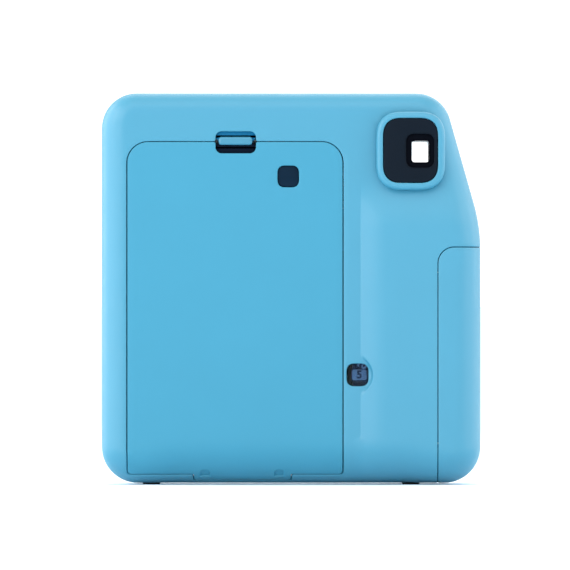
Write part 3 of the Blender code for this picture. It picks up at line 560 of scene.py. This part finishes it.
def tinted(colour, factor):
    return (colour[0] * factor, colour[1] * factor, colour[2] * factor, 1.0)


def moulded(name, colour, rough=(0.38, 0.46), vary=0.03, grain=2600.0, bump=0.05, metallic=0.0, coat=0.0,
            specular=0.5):
    """Moulded plastic or plain metal: faint tone variation, spark-eroded grain, uneven gloss."""
    material, nodes, links, shader = new_material(name)
    tone = noise(nodes, links, 38.0, 3.0)
    colours = ramp(nodes, links, tone.outputs["Fac"],
                   ((0.3, tinted(colour, 1 - vary)), (0.7, tinted(colour, 1 + vary))))
    links.new(colours.outputs["Color"], shader.inputs["Base Color"])
    gloss = noise(nodes, links, 160.0, 5.0)
    roughness = ramp(nodes, links, gloss.outputs["Fac"], ((0.3, grey(rough[0])), (0.7, grey(rough[1]))))
    links.new(roughness.outputs["Color"], shader.inputs["Roughness"])
    fine = noise(nodes, links, grain, 2.0, 0.6)
    height = nodes.new("ShaderNodeBump")
    height.inputs["Strength"].default_value = bump
    height.inputs["Distance"].default_value = 0.0001
    links.new(fine.outputs["Fac"], height.inputs["Height"])
    links.new(height.outputs["Normal"], shader.inputs["Normal"])
    shader.inputs["Metallic"].default_value = metallic
    shader.inputs["Coat Weight"].default_value = coat
    shader.inputs["Specular IOR Level"].default_value = specular
    return material


def glass(name, tint=(1.0, 1.0, 1.0, 1.0), transmission=1.0, rough=0.02, ior=1.45):
    material, nodes, links, shader = new_material(name)
    film = noise(nodes, links, 90.0, 3.0)
    smear = ramp(nodes, links, film.outputs["Fac"], ((0.35, grey(rough)), (0.75, grey(rough + 0.02))))
    links.new(smear.outputs["Color"], shader.inputs["Roughness"])
    shader.inputs["Base Color"].default_value = tint
    shader.inputs["Transmission Weight"].default_value = transmission
    shader.inputs["IOR"].default_value = ior
    return material


BODY_BLUE = (0.036, 0.208, 0.310, 1.0)
MATERIALS = {
    "case": moulded("case_blue", BODY_BLUE, (0.38, 0.45), 0.012, 3000.0, 0.06),
    "door": moulded("door_blue", BODY_BLUE, (0.38, 0.45), 0.012, 3000.0, 0.06, specular=0.24),
    "light_blue": moulded("trim_blue", (0.028, 0.170, 0.262, 1.0), (0.32, 0.38), 0.012, 3000.0, 0.04),
    "panel": moulded("panel_black", (0.0016, 0.0050, 0.0105, 1.0), (0.34, 0.42), 0.05, 3400.0, 0.08,
                     specular=0.08),
    "recess": moulded("recess_black", (0.0008, 0.0014, 0.0040, 1.0), (0.5, 0.6), 0.05, 2600.0, 0.06,
                      specular=0.03),
    "dark": moulded("dark_plastic", srgb(30, 32, 37), (0.42, 0.52), 0.05),
    "black_lens": moulded("lens_black", srgb(10, 11, 13), (0.36, 0.46), 0.05, specular=0.25),
    "grey": moulded("grey_plastic", srgb(120, 124, 130), (0.42, 0.5), 0.03),
    "white": moulded("white_acetal", srgb(226, 228, 224), (0.35, 0.42), 0.02),
    "window": moulded("smoked_window", (0.0020, 0.0100, 0.0220, 1.0), (0.10, 0.16), 0.75, 900.0, 0.01,
                      specular=0.06),
    "steel": moulded("steel", (0.60, 0.60, 0.62, 1.0), (0.25, 0.38), 0.05, 1800.0, 0.04, metallic=1.0),
    "mirror": moulded("mirror", (0.68, 0.70, 0.73, 1.0), (0.04, 0.08), 0.01, 900.0, 0.01, metallic=1.0),
    "brass": moulded("contact_brass", (0.66, 0.50, 0.22, 1.0), (0.28, 0.4), 0.06, 1800.0, 0.04,
                     metallic=1.0),
    "board": moulded("board_green", srgb(24, 96, 56), (0.35, 0.5), 0.12, 1200.0, 0.05),
    "cell": moulded("cell_wrap", srgb(52, 58, 66), (0.30, 0.4), 0.05, 1500.0, 0.03),
    "rubber": moulded("rubber", srgb(20, 20, 22), (0.7, 0.85), 0.08, 1700.0, 0.2, specular=0.2),
    "glass": glass("clear_optic"),
    "legend": moulded("dial_legend", (0.150, 0.195, 0.245, 1.0), (0.5, 0.6), 0.01, specular=0.1),
    # Case plastic coloured a darker, deeper blue than the case: painted shade for the floor of the deep upper
    # latch well.
    "well_blue_painted_shade": moulded("well_blue_painted_shade", (0.002, 0.115, 0.240, 1.0), (0.45, 0.55), 0.02, specular=0.1),
    "well_dark": moulded("well_dark", (0.001, 0.004, 0.012, 1.0), (0.5, 0.6), 0.03, specular=0.05),
    "counter_face": moulded("counter_face", (0.003, 0.009, 0.020, 1.0), (0.35, 0.45), 0.04, specular=0.1),
    "clear_cover": glass("clear_cover", (0.55, 0.74, 0.95, 1.0), 1.0, 0.01, 1.2),
    "diffuser": glass("flash_diffuser", (0.84, 0.88, 0.92, 1.0), 0.92, 0.08, 1.45),
}


# ---- seams shared by the shells -----------------------------------------------------------
DOOR_X = (DOOR_LOW[0], DOOR_HIGH[0])
DOOR_TOP = DOOR_HIGH[2]
DOOR_BOTTOM = 3.4
DOOR_CORNER = 6.8
TONGUE_X = (-31.5, -0.1)
TONGUE_BOTTOM = 1.43
RECESS = (-24.5, -11.4, 107.5, 114.6)
RECESS_DEPTH = 1.2
RECESS_CORNER = 2.0
MOUTH_CORNER = 0.6
CELL_X = CELL_LOW[0]
CELL_TOP = CELL_HIGH[2]
CELL_CORNER = 5.2
CELL_SEAM = 0.22
SEAM_STEP = 1.2


def door_loop(grow):
    """Film door seen from behind, with its hinge tongue below and the latch notch above."""
    left, right = DOOR_X[0] - grow, DOOR_X[1] + grow
    bottom, tongue, top = DOOR_BOTTOM - grow, TONGUE_BOTTOM - grow, DOOR_TOP + 0.65 * grow
    tongue_left, tongue_right = TONGUE_X[0] - grow, TONGUE_X[1] + grow
    notch = RECESS[2] if grow <= 0 else RECESS[3]
    corners = ((left, bottom), (tongue_left, bottom), (tongue_left, tongue), (tongue_right, tongue),
               (tongue_right, bottom), (right, bottom), (right, top), (RECESS[1], top),
               (RECESS[1], notch), (RECESS[0], notch), (RECESS[0], top), (left, top))
    radii = (1.2, 0.6, 0.7, 0.7, 0.6, 1.2, DOOR_CORNER + grow, MOUTH_CORNER, RECESS_CORNER,
             RECESS_CORNER, MOUTH_CORNER, DOOR_CORNER + grow)
    return REAR.unroll(dense(filleted(corners, radii), SEAM_STEP))


def battery_seam(rim, grow):
    """Seam of the battery door on the sheet, from the bottom rim up and round to the right rim,
    and the run of rim points that it cuts off."""
    x, z = CELL_X - grow, CELL_TOP + grow
    cut = np.flatnonzero((rim[:, 0] > x) & (rim[:, 1] < z))
    foot = np.array((x, rim[cut[0], 1]))
    end = np.array((rim[cut[-1], 0], z))
    corner = filleted((foot, (x, z), end), (0.001, CELL_CORNER + grow, 0.001))
    reach = CELL_CORNER + grow + 0.01
    middle = corner[(corner[:, 0] < x + reach) & (corner[:, 1] > z - reach)]
    path = np.concatenate([[foot], middle, [end]])
    closing = max(1, math.ceil(np.linalg.norm(foot - end) / SEAM_STEP))
    return dense(path, SEAM_STEP)[:1 - closing], cut


def rear_grid():
    """Free points of the sheet: rows round the edge, columns along the grip's crease, and a grid."""
    rows = [REAR.outline(share=k / 12) for k in range(13)]
    rows += [REAR.outline(past_rim=step) for step in np.arange(2.5, 24.0, 3.0)]
    count = sum(len(row) for row in rows)
    offsets = np.array((-1.2, -0.7, -0.4, -0.2, 0.0, 0.2, 0.4, 0.6, 0.8, 1.1, 1.5, 2.0, 2.6, 3.3, 4.1, 5.0,
                        6.0, 7.2, 8.6))
    heights = [np.arange(15.0, 26.5, 1.0), np.arange(27.0, 45.0, 0.5), np.arange(45.5, 101.0, 1.0)]
    for z in np.concatenate(heights):
        rows.append(np.stack((CREASE_X + cut_aside(z) + offsets, np.full(len(offsets), z)), 1))
    for z in np.arange(15.0, 121.0, 2.4):
        for x in np.arange(-53.0, 53.5, 2.4):
            near_crease = CREASE_X - 2.4 < x < CREASE_X + 14.5 and z < 101
            if not near_crease:
                rows.append(np.array([(x, z)]))
    points = np.concatenate(rows)
    distance, normal = REAR.nearest(points)
    flat = distance > REAR.edge_radius(normal, points - normal * distance[:, None]) + 0.8
    flat[:count] = True
    return points[flat]


def front_grid():
    """Free points of the front's sheet: rows round the edge and a grid."""
    rows = [FRONT.outline(share=k / 8) for k in range(9)]
    rows += [FRONT.outline(past_rim=step) for step in np.arange(2.5, 12.0, 3.0)]
    count = sum(len(row) for row in rows)
    for z in np.arange(8.0, 121.0, 2.4):
        for x in np.arange(-54.0, 54.5, 2.4):
            rows.append(np.array([(x, z)]))
    points = np.concatenate(rows)
    distance, normal = FRONT.nearest(points)
    flat = distance > FRONT.edge_radius(normal, points - normal * distance[:, None]) + 0.8
    flat[:count] = True
    return points[flat]


# ---- rear shells --------------------------------------------------------------------------
SURROUND = (27.6, 49.9, 95.6, 121.0)
PANEL = (29.9, 47.5, 98.0, 118.8)
EYEPIECE = (37.25, 46.4, 102.8, 113.8)
SIGHT = (39.1, 44.7, 104.6, 111.6)
COUNTER = (18.1, 25.0, 32.1, 39.2)
PACK = (-4.3, 2.45, 96.6, 103.4)
SLOT_HALF = 28.5
SLOT_Y = (-11.1, -7.9)


def make_rear_cover():
    """Back half with its film door opening, exit slot, counter hole and the upper latch well."""
    rim = REAR.outline()
    seam, cut = battery_seam(rim, CELL_SEAM)
    outer = np.concatenate([rim[:cut[0]], seam, rim[cut[-1] + 1:]])
    slot = [REAR.wall_point((LENS[0], CASE_TOP), y)[1] for y in SLOT_Y]
    slot = rectangle((LENS[0] - SLOT_HALF, LENS[0] + SLOT_HALF, min(slot), max(slot)), 1.4)
    holes = [(door_loop(SEAM), 0.3), (soft_rectangle(SURROUND, 9.0, -0.6), 0.02),
             (soft_rectangle(COUNTER, 2.7, 0.12), 0.28), (dense(slot, 2.0), 0.4)]
    panel("rear_shell", REAR, outer, holes, [], rear_grid(), MATERIALS["case"], "root",
          ("rear_cover",), edge=0.3)
    # The upper well's floor is case plastic coloured darker than the case, as painted shade of the deep
    # recess.
    floor = rectangle((RECESS[0], RECESS[1], DOOR_TOP + 0.1, RECESS[3]), RECESS_CORNER, 0.04)
    prism("latch_well_upper", floor, BACK_Y + RECESS_DEPTH, BACK_Y + RECESS_DEPTH + 0.7,
          MATERIALS["well_blue_painted_shade"], "root", ("rear_cover",), edge=0.02)


def make_film_door():
    """Door with its pack window, two thumb dimples on the bottom edge and the lower latch well."""
    dimples = []
    for x0, x1 in ((-29.7, -26.2), (-5.6, -2.2)):
        corners = ((x0, 2.6), (x1, 2.6), (x1, 5.0), (x0, 5.0))
        loop = REAR.unroll(dense(filleted(corners, (0.35, 0.35, 1.5, 1.5)), 1.0))
        dimples.append((loop, [(0.0, 0.0), (-0.14, 0.2), (-0.24, 0.55)], 0.62))
    holes = [(soft_rectangle(PACK, 2.5, 0.12), 0.28)]
    panel("film_door_shell", REAR, door_loop(0.0), holes, dimples, rear_grid(), MATERIALS["door"],
          "film_door", ("film_door",), edge=0.3)
    floor = rectangle((RECESS[0], RECESS[1], RECESS[2], DOOR_TOP - 0.1), RECESS_CORNER, 0.04)
    prism("latch_well_lower", floor, BACK_Y + RECESS_DEPTH, BACK_Y + RECESS_DEPTH + 0.7,
          MATERIALS["well_dark"], "film_door", ("film_door",), edge=0.02)
    prism("pack_glazing", soft_rectangle(PACK, 2.5, -0.02), BACK_Y + 0.5, BACK_Y + 1.8,
          MATERIALS["window"], "film_door", ("pack_window",), edge=0.25)


def make_battery_door():
    rim = REAR.outline()
    seam, cut = battery_seam(rim, 0.0)
    outer = np.concatenate([rim[cut], seam[::-1]])
    panel("battery_door_shell", REAR, outer, [], [], rear_grid(), MATERIALS["case"], "battery_door",
          ("battery_door",), edge=0.3)


def make_latch_tab():
    low, high = cad("door_latch")
    loop = rectangle((low[0], high[0], low[2], high[2]), 0.85)
    prism("latch_tab", loop, low[1], high[1], MATERIALS["light_blue"], "door_latch", ("door_latch",),
          edge=0.75, steps=6)


def make_eyepiece():
    """Raised ring round a black panel, with the finder's frame sunk in it."""
    outer = soft_rectangle(SURROUND, 9.0)
    inner = soft_rectangle(PANEL, 6.2, SEAM / 2)
    steps = 240
    loops = [resample(loop, steps) for loop in (outer, inner)]
    foot = BACK_Y + 1.6
    rings = [(loops[0], foot), (loops[0], BACK_Y - 1.2)]
    for away, depth in round_over(1.5, 7)[::-1]:
        rings.append((offset(loops[0], -away), SURROUND_Y + depth))
    for away, depth in round_over(0.35, 4):
        rings.append((offset(loops[1], away), SURROUND_Y + depth))
    rings.append((loops[1], foot))
    loft("eyepiece_surround", rings, MATERIALS["case"], "root", ("rear_cover",))
    low, high = cad("eyepiece_panel")
    opening = soft_rectangle(EYEPIECE, 3.0)
    flat_ring("eyepiece_plate", soft_rectangle(PANEL, 6.2), opening, low[1], high[1] + 0.8,
              MATERIALS["panel"], ("eyepiece_panel",), 0.3, 0.2)
    low, high = cad("eyepiece_frame")
    flat_ring("sight_frame", soft_rectangle(EYEPIECE, 3.0, 0.15), rectangle(SIGHT, 0.9), low[1] + 0.2,
              high[1] + 0.2, MATERIALS["recess"], ("eyepiece_frame",), 0.1, 0.35)


def resample(loop, count):
    """The loop as count points evenly spaced, starting at its rightmost bottom point."""
    lengths = np.linalg.norm(np.roll(loop, -1, axis=0) - loop, axis=1)
    places = np.concatenate([[0], np.cumsum(lengths)])
    closed = np.concatenate([loop, loop[:1]])
    wanted = np.linspace(0, places[-1], count, endpoint=False)
    points = np.stack([np.interp(wanted, places, closed[:, axis]) for axis in (0, 1)], 1)
    middle = (loop.max(0) + loop.min(0)) / 2
    angle = np.arctan2(points[:, 1] - middle[1], points[:, 0] - middle[0])
    return np.roll(points, -int(np.argmin(np.abs(angle + math.pi / 2))), axis=0)


def flat_ring(name, outer, inner, y0, y1, material, replaces, edge_out, edge_in, body="root"):
    """Flat frame along Y between two loops, its rearward edges rounded."""
    count = 160
    outer, inner = resample(outer, count), resample(inner, count)
    rings = [(outer, y1)]
    rings += [(offset(outer, -away), y0 + depth) for away, depth in reversed(round_over(edge_out, 4))]
    rings.sort(key=lambda pair: -pair[1])
    rings += [(offset(inner, away), y0 + depth) for away, depth in round_over(edge_in, 4)[::-1]]
    rings += [(inner, y1)]
    return loft(name, rings, material, body, replaces)


# ---- counter ------------------------------------------------------------------------------
COUNT_STEP = math.radians(28)
COUNT_RADIUS = 7.2


def flat_text(name, text, size, centre, y, material, body, turn=0.0):
    """Figures lying on a disc that faces the rear."""
    curve = bpy.data.curves.new(name, "FONT")
    curve.body = text
    curve.size = size * MM
    curve.extrude = 0.06 * MM
    curve.offset = 0.035 * size * MM
    curve.align_x = "CENTER"
    curve.align_y = "CENTER"
    holder = bpy.data.objects.new(name + "_text", curve)
    bpy.context.scene.collection.objects.link(holder)
    bpy.context.view_layer.update()
    mesh = bpy.data.meshes.new_from_object(holder.evaluated_get(bpy.context.evaluated_depsgraph_get()))
    bpy.data.objects.remove(holder)
    obj = bpy.data.objects.new(name, mesh)
    bpy.context.scene.collection.objects.link(obj)
    cos, sin = math.cos(turn), math.sin(turn)
    for vertex in mesh.vertices:
        u, v, w = vertex.co
        vertex.co = (centre[0] * MM + u * cos - v * sin, y * MM - w, centre[1] * MM + u * sin + v * cos)
    mesh.materials.clear()
    mesh.materials.append(material)
    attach(obj, body)
    return obj


def make_counter():
    """Disc that counts down past its window, with a boxed figure at the start."""
    low, high = cad("counter_dial")
    centre = ((low[0] + high[0]) / 2, (low[2] + high[2]) / 2)
    radius = (high[0] - low[0]) / 2
    profile = arc_profile(((1.6, low[1]), (radius, low[1]), (radius, high[1]), (1.6, high[1])),
                          (0.1, 0.2, 0.2, 0.1))
    turned("counter_disc", profile, centre, MATERIALS["counter_face"], "counter_dial", ("counter_dial",),
           steps=96)
    face = low[1] - 0.05
    for index in range(1, 11):
        angle = math.pi - index * COUNT_STEP
        place = (centre[0] + COUNT_RADIUS * math.cos(angle), centre[1] + COUNT_RADIUS * math.sin(angle))
        flat_text(f"count_{index}", str(11 - index), 3.4, place, face, MATERIALS["legend"], "counter_dial",
                  angle - math.pi)
    middle = (centre[0] - COUNT_RADIUS, centre[1])
    box = rectangle((middle[0] - 2.38, middle[0] + 2.38, middle[1] - 1.68, middle[1] + 1.68), 0.6)
    prism("count_start", box, face - 0.06, face + 0.06, MATERIALS["legend"], "counter_dial", (),
          edge=0.03)
    flat_text("count_start_figure", "5", 3.5, middle, face - 0.1, MATERIALS["counter_face"], "counter_dial")
    prism("counter_glazing", soft_rectangle(COUNTER, 2.7, -0.02), BACK_Y + 0.35, BACK_Y + 0.9,
          MATERIALS["clear_cover"], "root", ("counter_window",), edge=0.2)


# ---- front --------------------------------------------------------------------------------
FLASH = (-46.0, -16.0, 102.5, 115.5)
FLASH_RIBS = 14
FINDER_FRONT = (36.0, 47.6, 102.0, 114.6)
SENSOR = (-4.0, 109.0)
SENSOR_RADIUS = 2.2
BUTTON = (44.0, 72.0)
BUTTON_RADIUS = 6.5
RING_BORE = 22.6
KNURLS = 72
LIP_GAP = 0.08
LIP_THICKNESS = 1.12
LIP_REAR = 1.8                # how far the lip reaches past the rear half's edge
LIP_FRONT = 3.0
SCREWS = ((-52.0, 8.0), (28.0, 8.0))


def make_front_cover():
    centre = (LENS[0], LENS[2])
    holes = [(circle(centre, RING_BORE + 0.6, 120), 0.3), (rectangle(FLASH, 2.5, 0.15), 0.4),
             (rectangle(FINDER_FRONT, 2.0, 0.15), 0.4), (circle(BUTTON, BUTTON_RADIUS + 0.25, 64), 0.5),
             (circle(SENSOR, SENSOR_RADIUS + 0.15, 32), 0.3)]
    for x, y in SCREWS:
        z = FRONT.wall_point((x, CASE_BOTTOM), y)[1]
        holes.append((circle((x, z), 2.4, 32), 0.3))
    panel("front_shell", FRONT, FRONT.outline(), holes, [], front_grid(), MATERIALS["case"], "root",
          ("front_cover",), edge=0.3)


def make_split_lip():
    """Tongue of the front half, standing behind the seam between the halves all the way round."""
    outline = resample(filleted(case_corners(), CORNER_RADII), 240)
    outer = offset(outline, -WALL - LIP_GAP)
    inner = offset(outline, -WALL - LIP_GAP - LIP_THICKNESS)
    far, near = SPLIT_FRONT + LIP_FRONT, SPLIT_REAR - LIP_REAR
    rings = [(outer, far), (outer, near + 0.3), (offset(outer, -0.25), near),
             (offset(inner, 0.25), near), (inner, near + 0.3), (inner, far)]
    loft("split_lip", rings, MATERIALS["dark"], "root", ("front_cover",))


def make_lens():
    """Knurled ring, stepped barrel face, front glass and the domed mirror beside it."""
    centre = (LENS[0], LENS[2])
    low, high = cad("lens_ring")
    outer = (high[0] - low[0]) / 2
    front, back = high[1], low[1]
    profile = arc_profile(((RING_BORE, back), (outer, back), (outer, front - 1.4), (outer - 1.4, front),
                           (RING_BORE + 1.2, front), (RING_BORE, front - 1.4)),
                          (0.2, 0.3, 0.8, 0.8, 0.5, 0.5))

    def knurled(radius, y, angle):
        if radius > outer - 0.35 and back + 1.2 < y < front - 1.2:
            return radius - 0.35 * max(0.0, math.cos(angle * KNURLS)) ** 2
        return radius

    profile = [tuple(p) for p in dense(np.array(profile), 1.0)]
    turned("lens_ring_knurled", profile, centre, MATERIALS["light_blue"], "lens_ring", ("lens_ring",),
           steps=KNURLS * 6, wave=knurled)
    low, high = cad("lens_barrel")
    radius = (high[0] - low[0]) / 2
    front, back = high[1], low[1]
    points = [(radius - 2, back), (radius, back), (radius, front - 0.9), (radius - 0.9, front),
              (17.6, front), (17.2, front - 0.35), (16.6, front - 0.35), (16.2, front), (10.4, front)]
    for step in range(5):
        r = 10.4 - step * 0.55
        points += [(r, front - 0.25 * step), (r - 0.3, front - 0.25 * step - 0.25)]
    points += [(7.9, front - 1.5), (7.9, front - 2.4), (radius - 2, front - 2.4)]
    mirror_low, mirror_high = cad("selfie_mirror")
    turned("lens_barrel_face", points, centre, MATERIALS["black_lens"], "lens_barrel", ("lens_barrel",),
           steps=160)
    cap = [(0.02, front - 0.25), (2.5, front - 0.36), (4.6, front - 0.68), (6.2, front - 1.1),
           (7.4, front - 1.6), (7.4, front - 2.3), (0.02, front - 2.3)]
    turned("front_element", cap, centre, MATERIALS["glass"], "lens_barrel", ("front_lens",),
           steps=96)
    mirror_centre = ((mirror_low[0] + mirror_high[0]) / 2, (mirror_low[2] + mirror_high[2]) / 2)
    dome = [(0.02, front + 0.42), (1.4, front + 0.36), (2.6, front + 0.2), (3.3, front + 0.02),
            (3.3, front - 0.2), (0.02, front - 0.2)]
    turned("mirror_dome", dome, mirror_centre, MATERIALS["mirror"], "lens_barrel", ("selfie_mirror",),
           steps=64)
    rim = [(3.3, front - 0.1), (3.9, front - 0.1), (3.9, front + 0.1), (3.75, front + 0.25),
           (3.45, front + 0.25), (3.3, front + 0.1)]
    turned("mirror_rim", rim, mirror_centre, MATERIALS["black_lens"], "lens_barrel", ("lens_barrel",),
           steps=64)


def make_flash():
    """Clear cover with upright prisms moulded on its inner face."""
    low, high = cad("flash_window")
    loop = resample(rectangle(FLASH, 2.5, -0.02), 120)
    prism("flash_cover", loop, low[1], high[1] + 0.15, MATERIALS["diffuser"], "root", ("flash_window",),
          edge=0.5, axis_out=1.0)
    vertices, faces = [], []
    bottom, top = FLASH[2] + 1.4, FLASH[3] - 1.4
    for index in range(FLASH_RIBS):
        x = FLASH[0] + 1.8 + index * (FLASH[1] - FLASH[0] - 3.6) / (FLASH_RIBS - 1)
        base = len(vertices)
        for y, half in ((low[1] - 0.35, 0.12), (low[1] - 0.02, 0.55)):
            for u, v in ((-half, bottom), (half, bottom), (half, top), (-half, top)):
                vertices.append((x + u, y, v))
        for quad in ((0, 1, 2, 3), (7, 6, 5, 4), (0, 4, 5, 1), (1, 5, 6, 2), (2, 6, 7, 3), (3, 7, 4, 0)):
            faces.append(tuple(base + i for i in quad))
    obj = add_piece("flash_ribs", vertices, faces, MATERIALS["diffuser"], "root", ("flash_window",))
    face_out(obj)


def make_button():
    low, high = cad("shutter_button")
    r = BUTTON_RADIUS - 0.05
    top = high[1]
    points = [(0.02, top - 0.75), (2.2, top - 0.68), (4.0, top - 0.4), (5.0, top - 0.05), (5.5, top),
              (6.0, top - 0.12), (r - 0.12, top - 0.5), (r, top - 1.0), (r, low[1] + 1.2),
              (r + 1.1, low[1] + 1.2), (r + 1.1, low[1]), (0.02, low[1])]
    turned("release_button", points, BUTTON, MATERIALS["light_blue"], "shutter_button", ("shutter_button",),
           steps=96)


def make_front_windows():
    low, high = cad("finder_window")
    prism("finder_glazing", rectangle(FINDER_FRONT, 2.0, -0.02), low[1], high[1], MATERIALS["glass"], "root",
          ("finder_window",), edge=0.3, axis_out=1.0)
    low, high = cad("light_sensor_window")
    prism("sensor_glazing", circle(SENSOR, SENSOR_RADIUS, 48), low[1], high[1], MATERIALS["window"], "root",
          ("light_sensor_window",), edge=0.3, axis_out=1.0)


def make_feet():
    """Round pads with a shallow hollow underneath."""
    for name in ("foot_rear_left", "foot_rear_right", "foot_front_left", "foot_front_right"):
        low, high = cad(name)
        centre = ((low[0] + high[0]) / 2, (low[1] + high[1]) / 2)
        r = (high[0] - low[0]) / 2
        points = [(0.02, 0.12), (r * 0.45, 0.06), (r * 0.7, 0.0), (r - 0.35, 0.0), (r - 0.08, 0.14),
                  (r, 0.35), (r, high[2]), (0.02, high[2])]
        upright(name + "_pad", points, centre, MATERIALS["rubber"], (name,))


def upright(name, profile, centre, material, replaces, steps=48):
    """Closed (radius, z) profile turned about a vertical line through centre (x, y)."""
    vertices, faces = [], []
    count = len(profile)
    for k in range(steps):
        angle = 2 * math.pi * k / steps
        for radius, z in profile:
            vertices.append((centre[0] + radius * math.cos(angle), centre[1] + radius * math.sin(angle), z))
    for k in range(steps):
        for i in range(count):
            j, n = (i + 1) % count, (k + 1) % steps
            faces.append((k * count + i, n * count + i, n * count + j, k * count + j))
    obj = add_piece(name, vertices, faces, material, "root", replaces)
    face_out(obj)
    return obj


# ---- materials of the nodes that keep their CAD meshes ------------------------------------
CARRIED = {
    "steel": ("hinge_pin", "pressure_spring", "case_screw_1", "case_screw_2", "front_roller", "rear_roller",
              "idler_pin", "motor_shaft", "drive_motor", "film_claw", "counter_post"),
    "dark": ("main_frame", "light_box", "lens_mount", "battery_holder", "shutter_switch", "aperture_plate",
             "finder_tube", "shutter_blade_left", "shutter_blade_right"),
    "grey": ("shutter_plate", "roller_bracket_left", "roller_bracket_right"),
    "white": ("front_roller_gear", "rear_roller_gear", "idler_gear", "motor_pinion"),
    "brass": ("battery_contact_lower", "battery_contact_upper"),
    "board": ("circuit_board",),
    "cell": ("battery_lower", "battery_upper", "flash_capacitor"),
    "mirror": ("flash_reflector",),
    "glass": ("eyepiece_lens", "rear_lens", "flash_lamp"),
}


def dress_carried():
    """Gives each node that keeps its CAD mesh the material of its kind."""
    for finish, names in CARRIED.items():
        for name in names:
            obj = frame["nodes"][name]
            obj.data.materials.clear()
            obj.data.materials.append(MATERIALS[finish])


# ---- stage --------------------------------------------------------------------------------
CAMERA_DISTANCE = 5.0
VIEW_WIDTH = 0.1848
VIEW_CENTRE = (-0.00198, 0.0648)
# Soft boxes: place and size in metres, power in watts. The camera's back faces -Y.
SOFTBOXES = {
    "box_left": ((-0.95, -0.35, 0.40), (0.6, 0.8), 5.8),
    "box_left_far": ((-0.95, 0.40, 0.40), (0.6, 0.9), 5.6),
    "box_right": ((0.95, -0.35, 0.40), (0.6, 0.8), 3.1),
    "box_right_far": ((0.95, 0.35, 0.40), (0.6, 0.8), 2.8),
    "box_top": ((0.0, 0.55, 1.0), (0.9, 0.6), 2.6),
    "box_top_near": ((0.0, -0.8, 1.0), (0.9, 0.6), 2.1),
    "box_near_left": ((-0.8, -1.1, 0.36), (0.5, 0.8), 4.6),
    "box_near_right": ((0.8, -1.1, 0.55), (0.6, 0.6), 1.0),
    "box_high": ((0.0, -1.9, 1.3), (1.8, 0.8), 3.0),
    "box_behind": ((0.5, 1.5, 0.9), (1.2, 0.9), 4.5),
}
WORLD_STRENGTH = 1.43
FLOOR_COLOUR = (0.70, 0.85, 0.95, 1.0)    # pale blue, lit so brightly that it renders white
FLOOR_HALF = 40.0
LIGHT_TARGET = (0.0, 0.0, 0.064)


def add_light(name, place, size, power):
    """Rectangular area light that faces the camera's middle."""
    light = bpy.data.lights.new(name, "AREA")
    light.energy = power
    light.shape = "RECTANGLE"
    light.size, light.size_y = size
    obj = bpy.data.objects.new(name, light)
    bpy.context.scene.collection.objects.link(obj)
    obj.location = place
    obj.rotation_euler = (Vector(LIGHT_TARGET) - Vector(place)).to_track_quat("-Z", "Y").to_euler()


def make_stage():
    """Pale floor, even sky, soft boxes and the camera that looks straight at the back."""
    floor_material, _, _, shader = new_material("floor_pale")
    shader.inputs["Base Color"].default_value = FLOOR_COLOUR
    shader.inputs["Roughness"].default_value = 0.6
    shader.inputs["Specular IOR Level"].default_value = 0.5
    mesh = bpy.data.meshes.new("floor")
    corners = [(-FLOOR_HALF, -FLOOR_HALF, 0), (FLOOR_HALF, -FLOOR_HALF, 0),
               (FLOOR_HALF, FLOOR_HALF, 0), (-FLOOR_HALF, FLOOR_HALF, 0)]
    mesh.from_pydata(corners, [], [(0, 1, 2, 3)])
    mesh.materials.append(floor_material)
    floor = bpy.data.objects.new("floor", mesh)
    bpy.context.scene.collection.objects.link(floor)
    world = bpy.data.worlds.new("studio")
    world.use_nodes = True
    world.node_tree.nodes["Background"].inputs["Color"].default_value = (1.0, 1.0, 1.0, 1.0)
    world.node_tree.nodes["Background"].inputs["Strength"].default_value = WORLD_STRENGTH
    bpy.context.scene.world = world
    bpy.context.scene.view_settings.view_transform = "Standard"
    for name, (place, size, power) in SOFTBOXES.items():
        add_light(name, place, size, power)
    camera = bpy.data.cameras.new("camera")
    camera.sensor_width = 36.0
    camera.lens = 36.0 * CAMERA_DISTANCE / VIEW_WIDTH
    camera.clip_end = 50.0
    obj = bpy.data.objects.new("camera", camera)
    bpy.context.scene.collection.objects.link(obj)
    obj.location = (VIEW_CENTRE[0], BACK_Y * MM - CAMERA_DISTANCE, VIEW_CENTRE[1])
    obj.rotation_euler = (math.pi / 2, 0, 0)
    bpy.context.scene.camera = obj


make_rear_cover()
make_film_door()
make_battery_door()
make_latch_tab()
make_eyepiece()
make_counter()
make_front_cover()
make_split_lip()
make_lens()
make_flash()
make_button()
make_front_windows()
make_feet()
dress_carried()
make_stage()
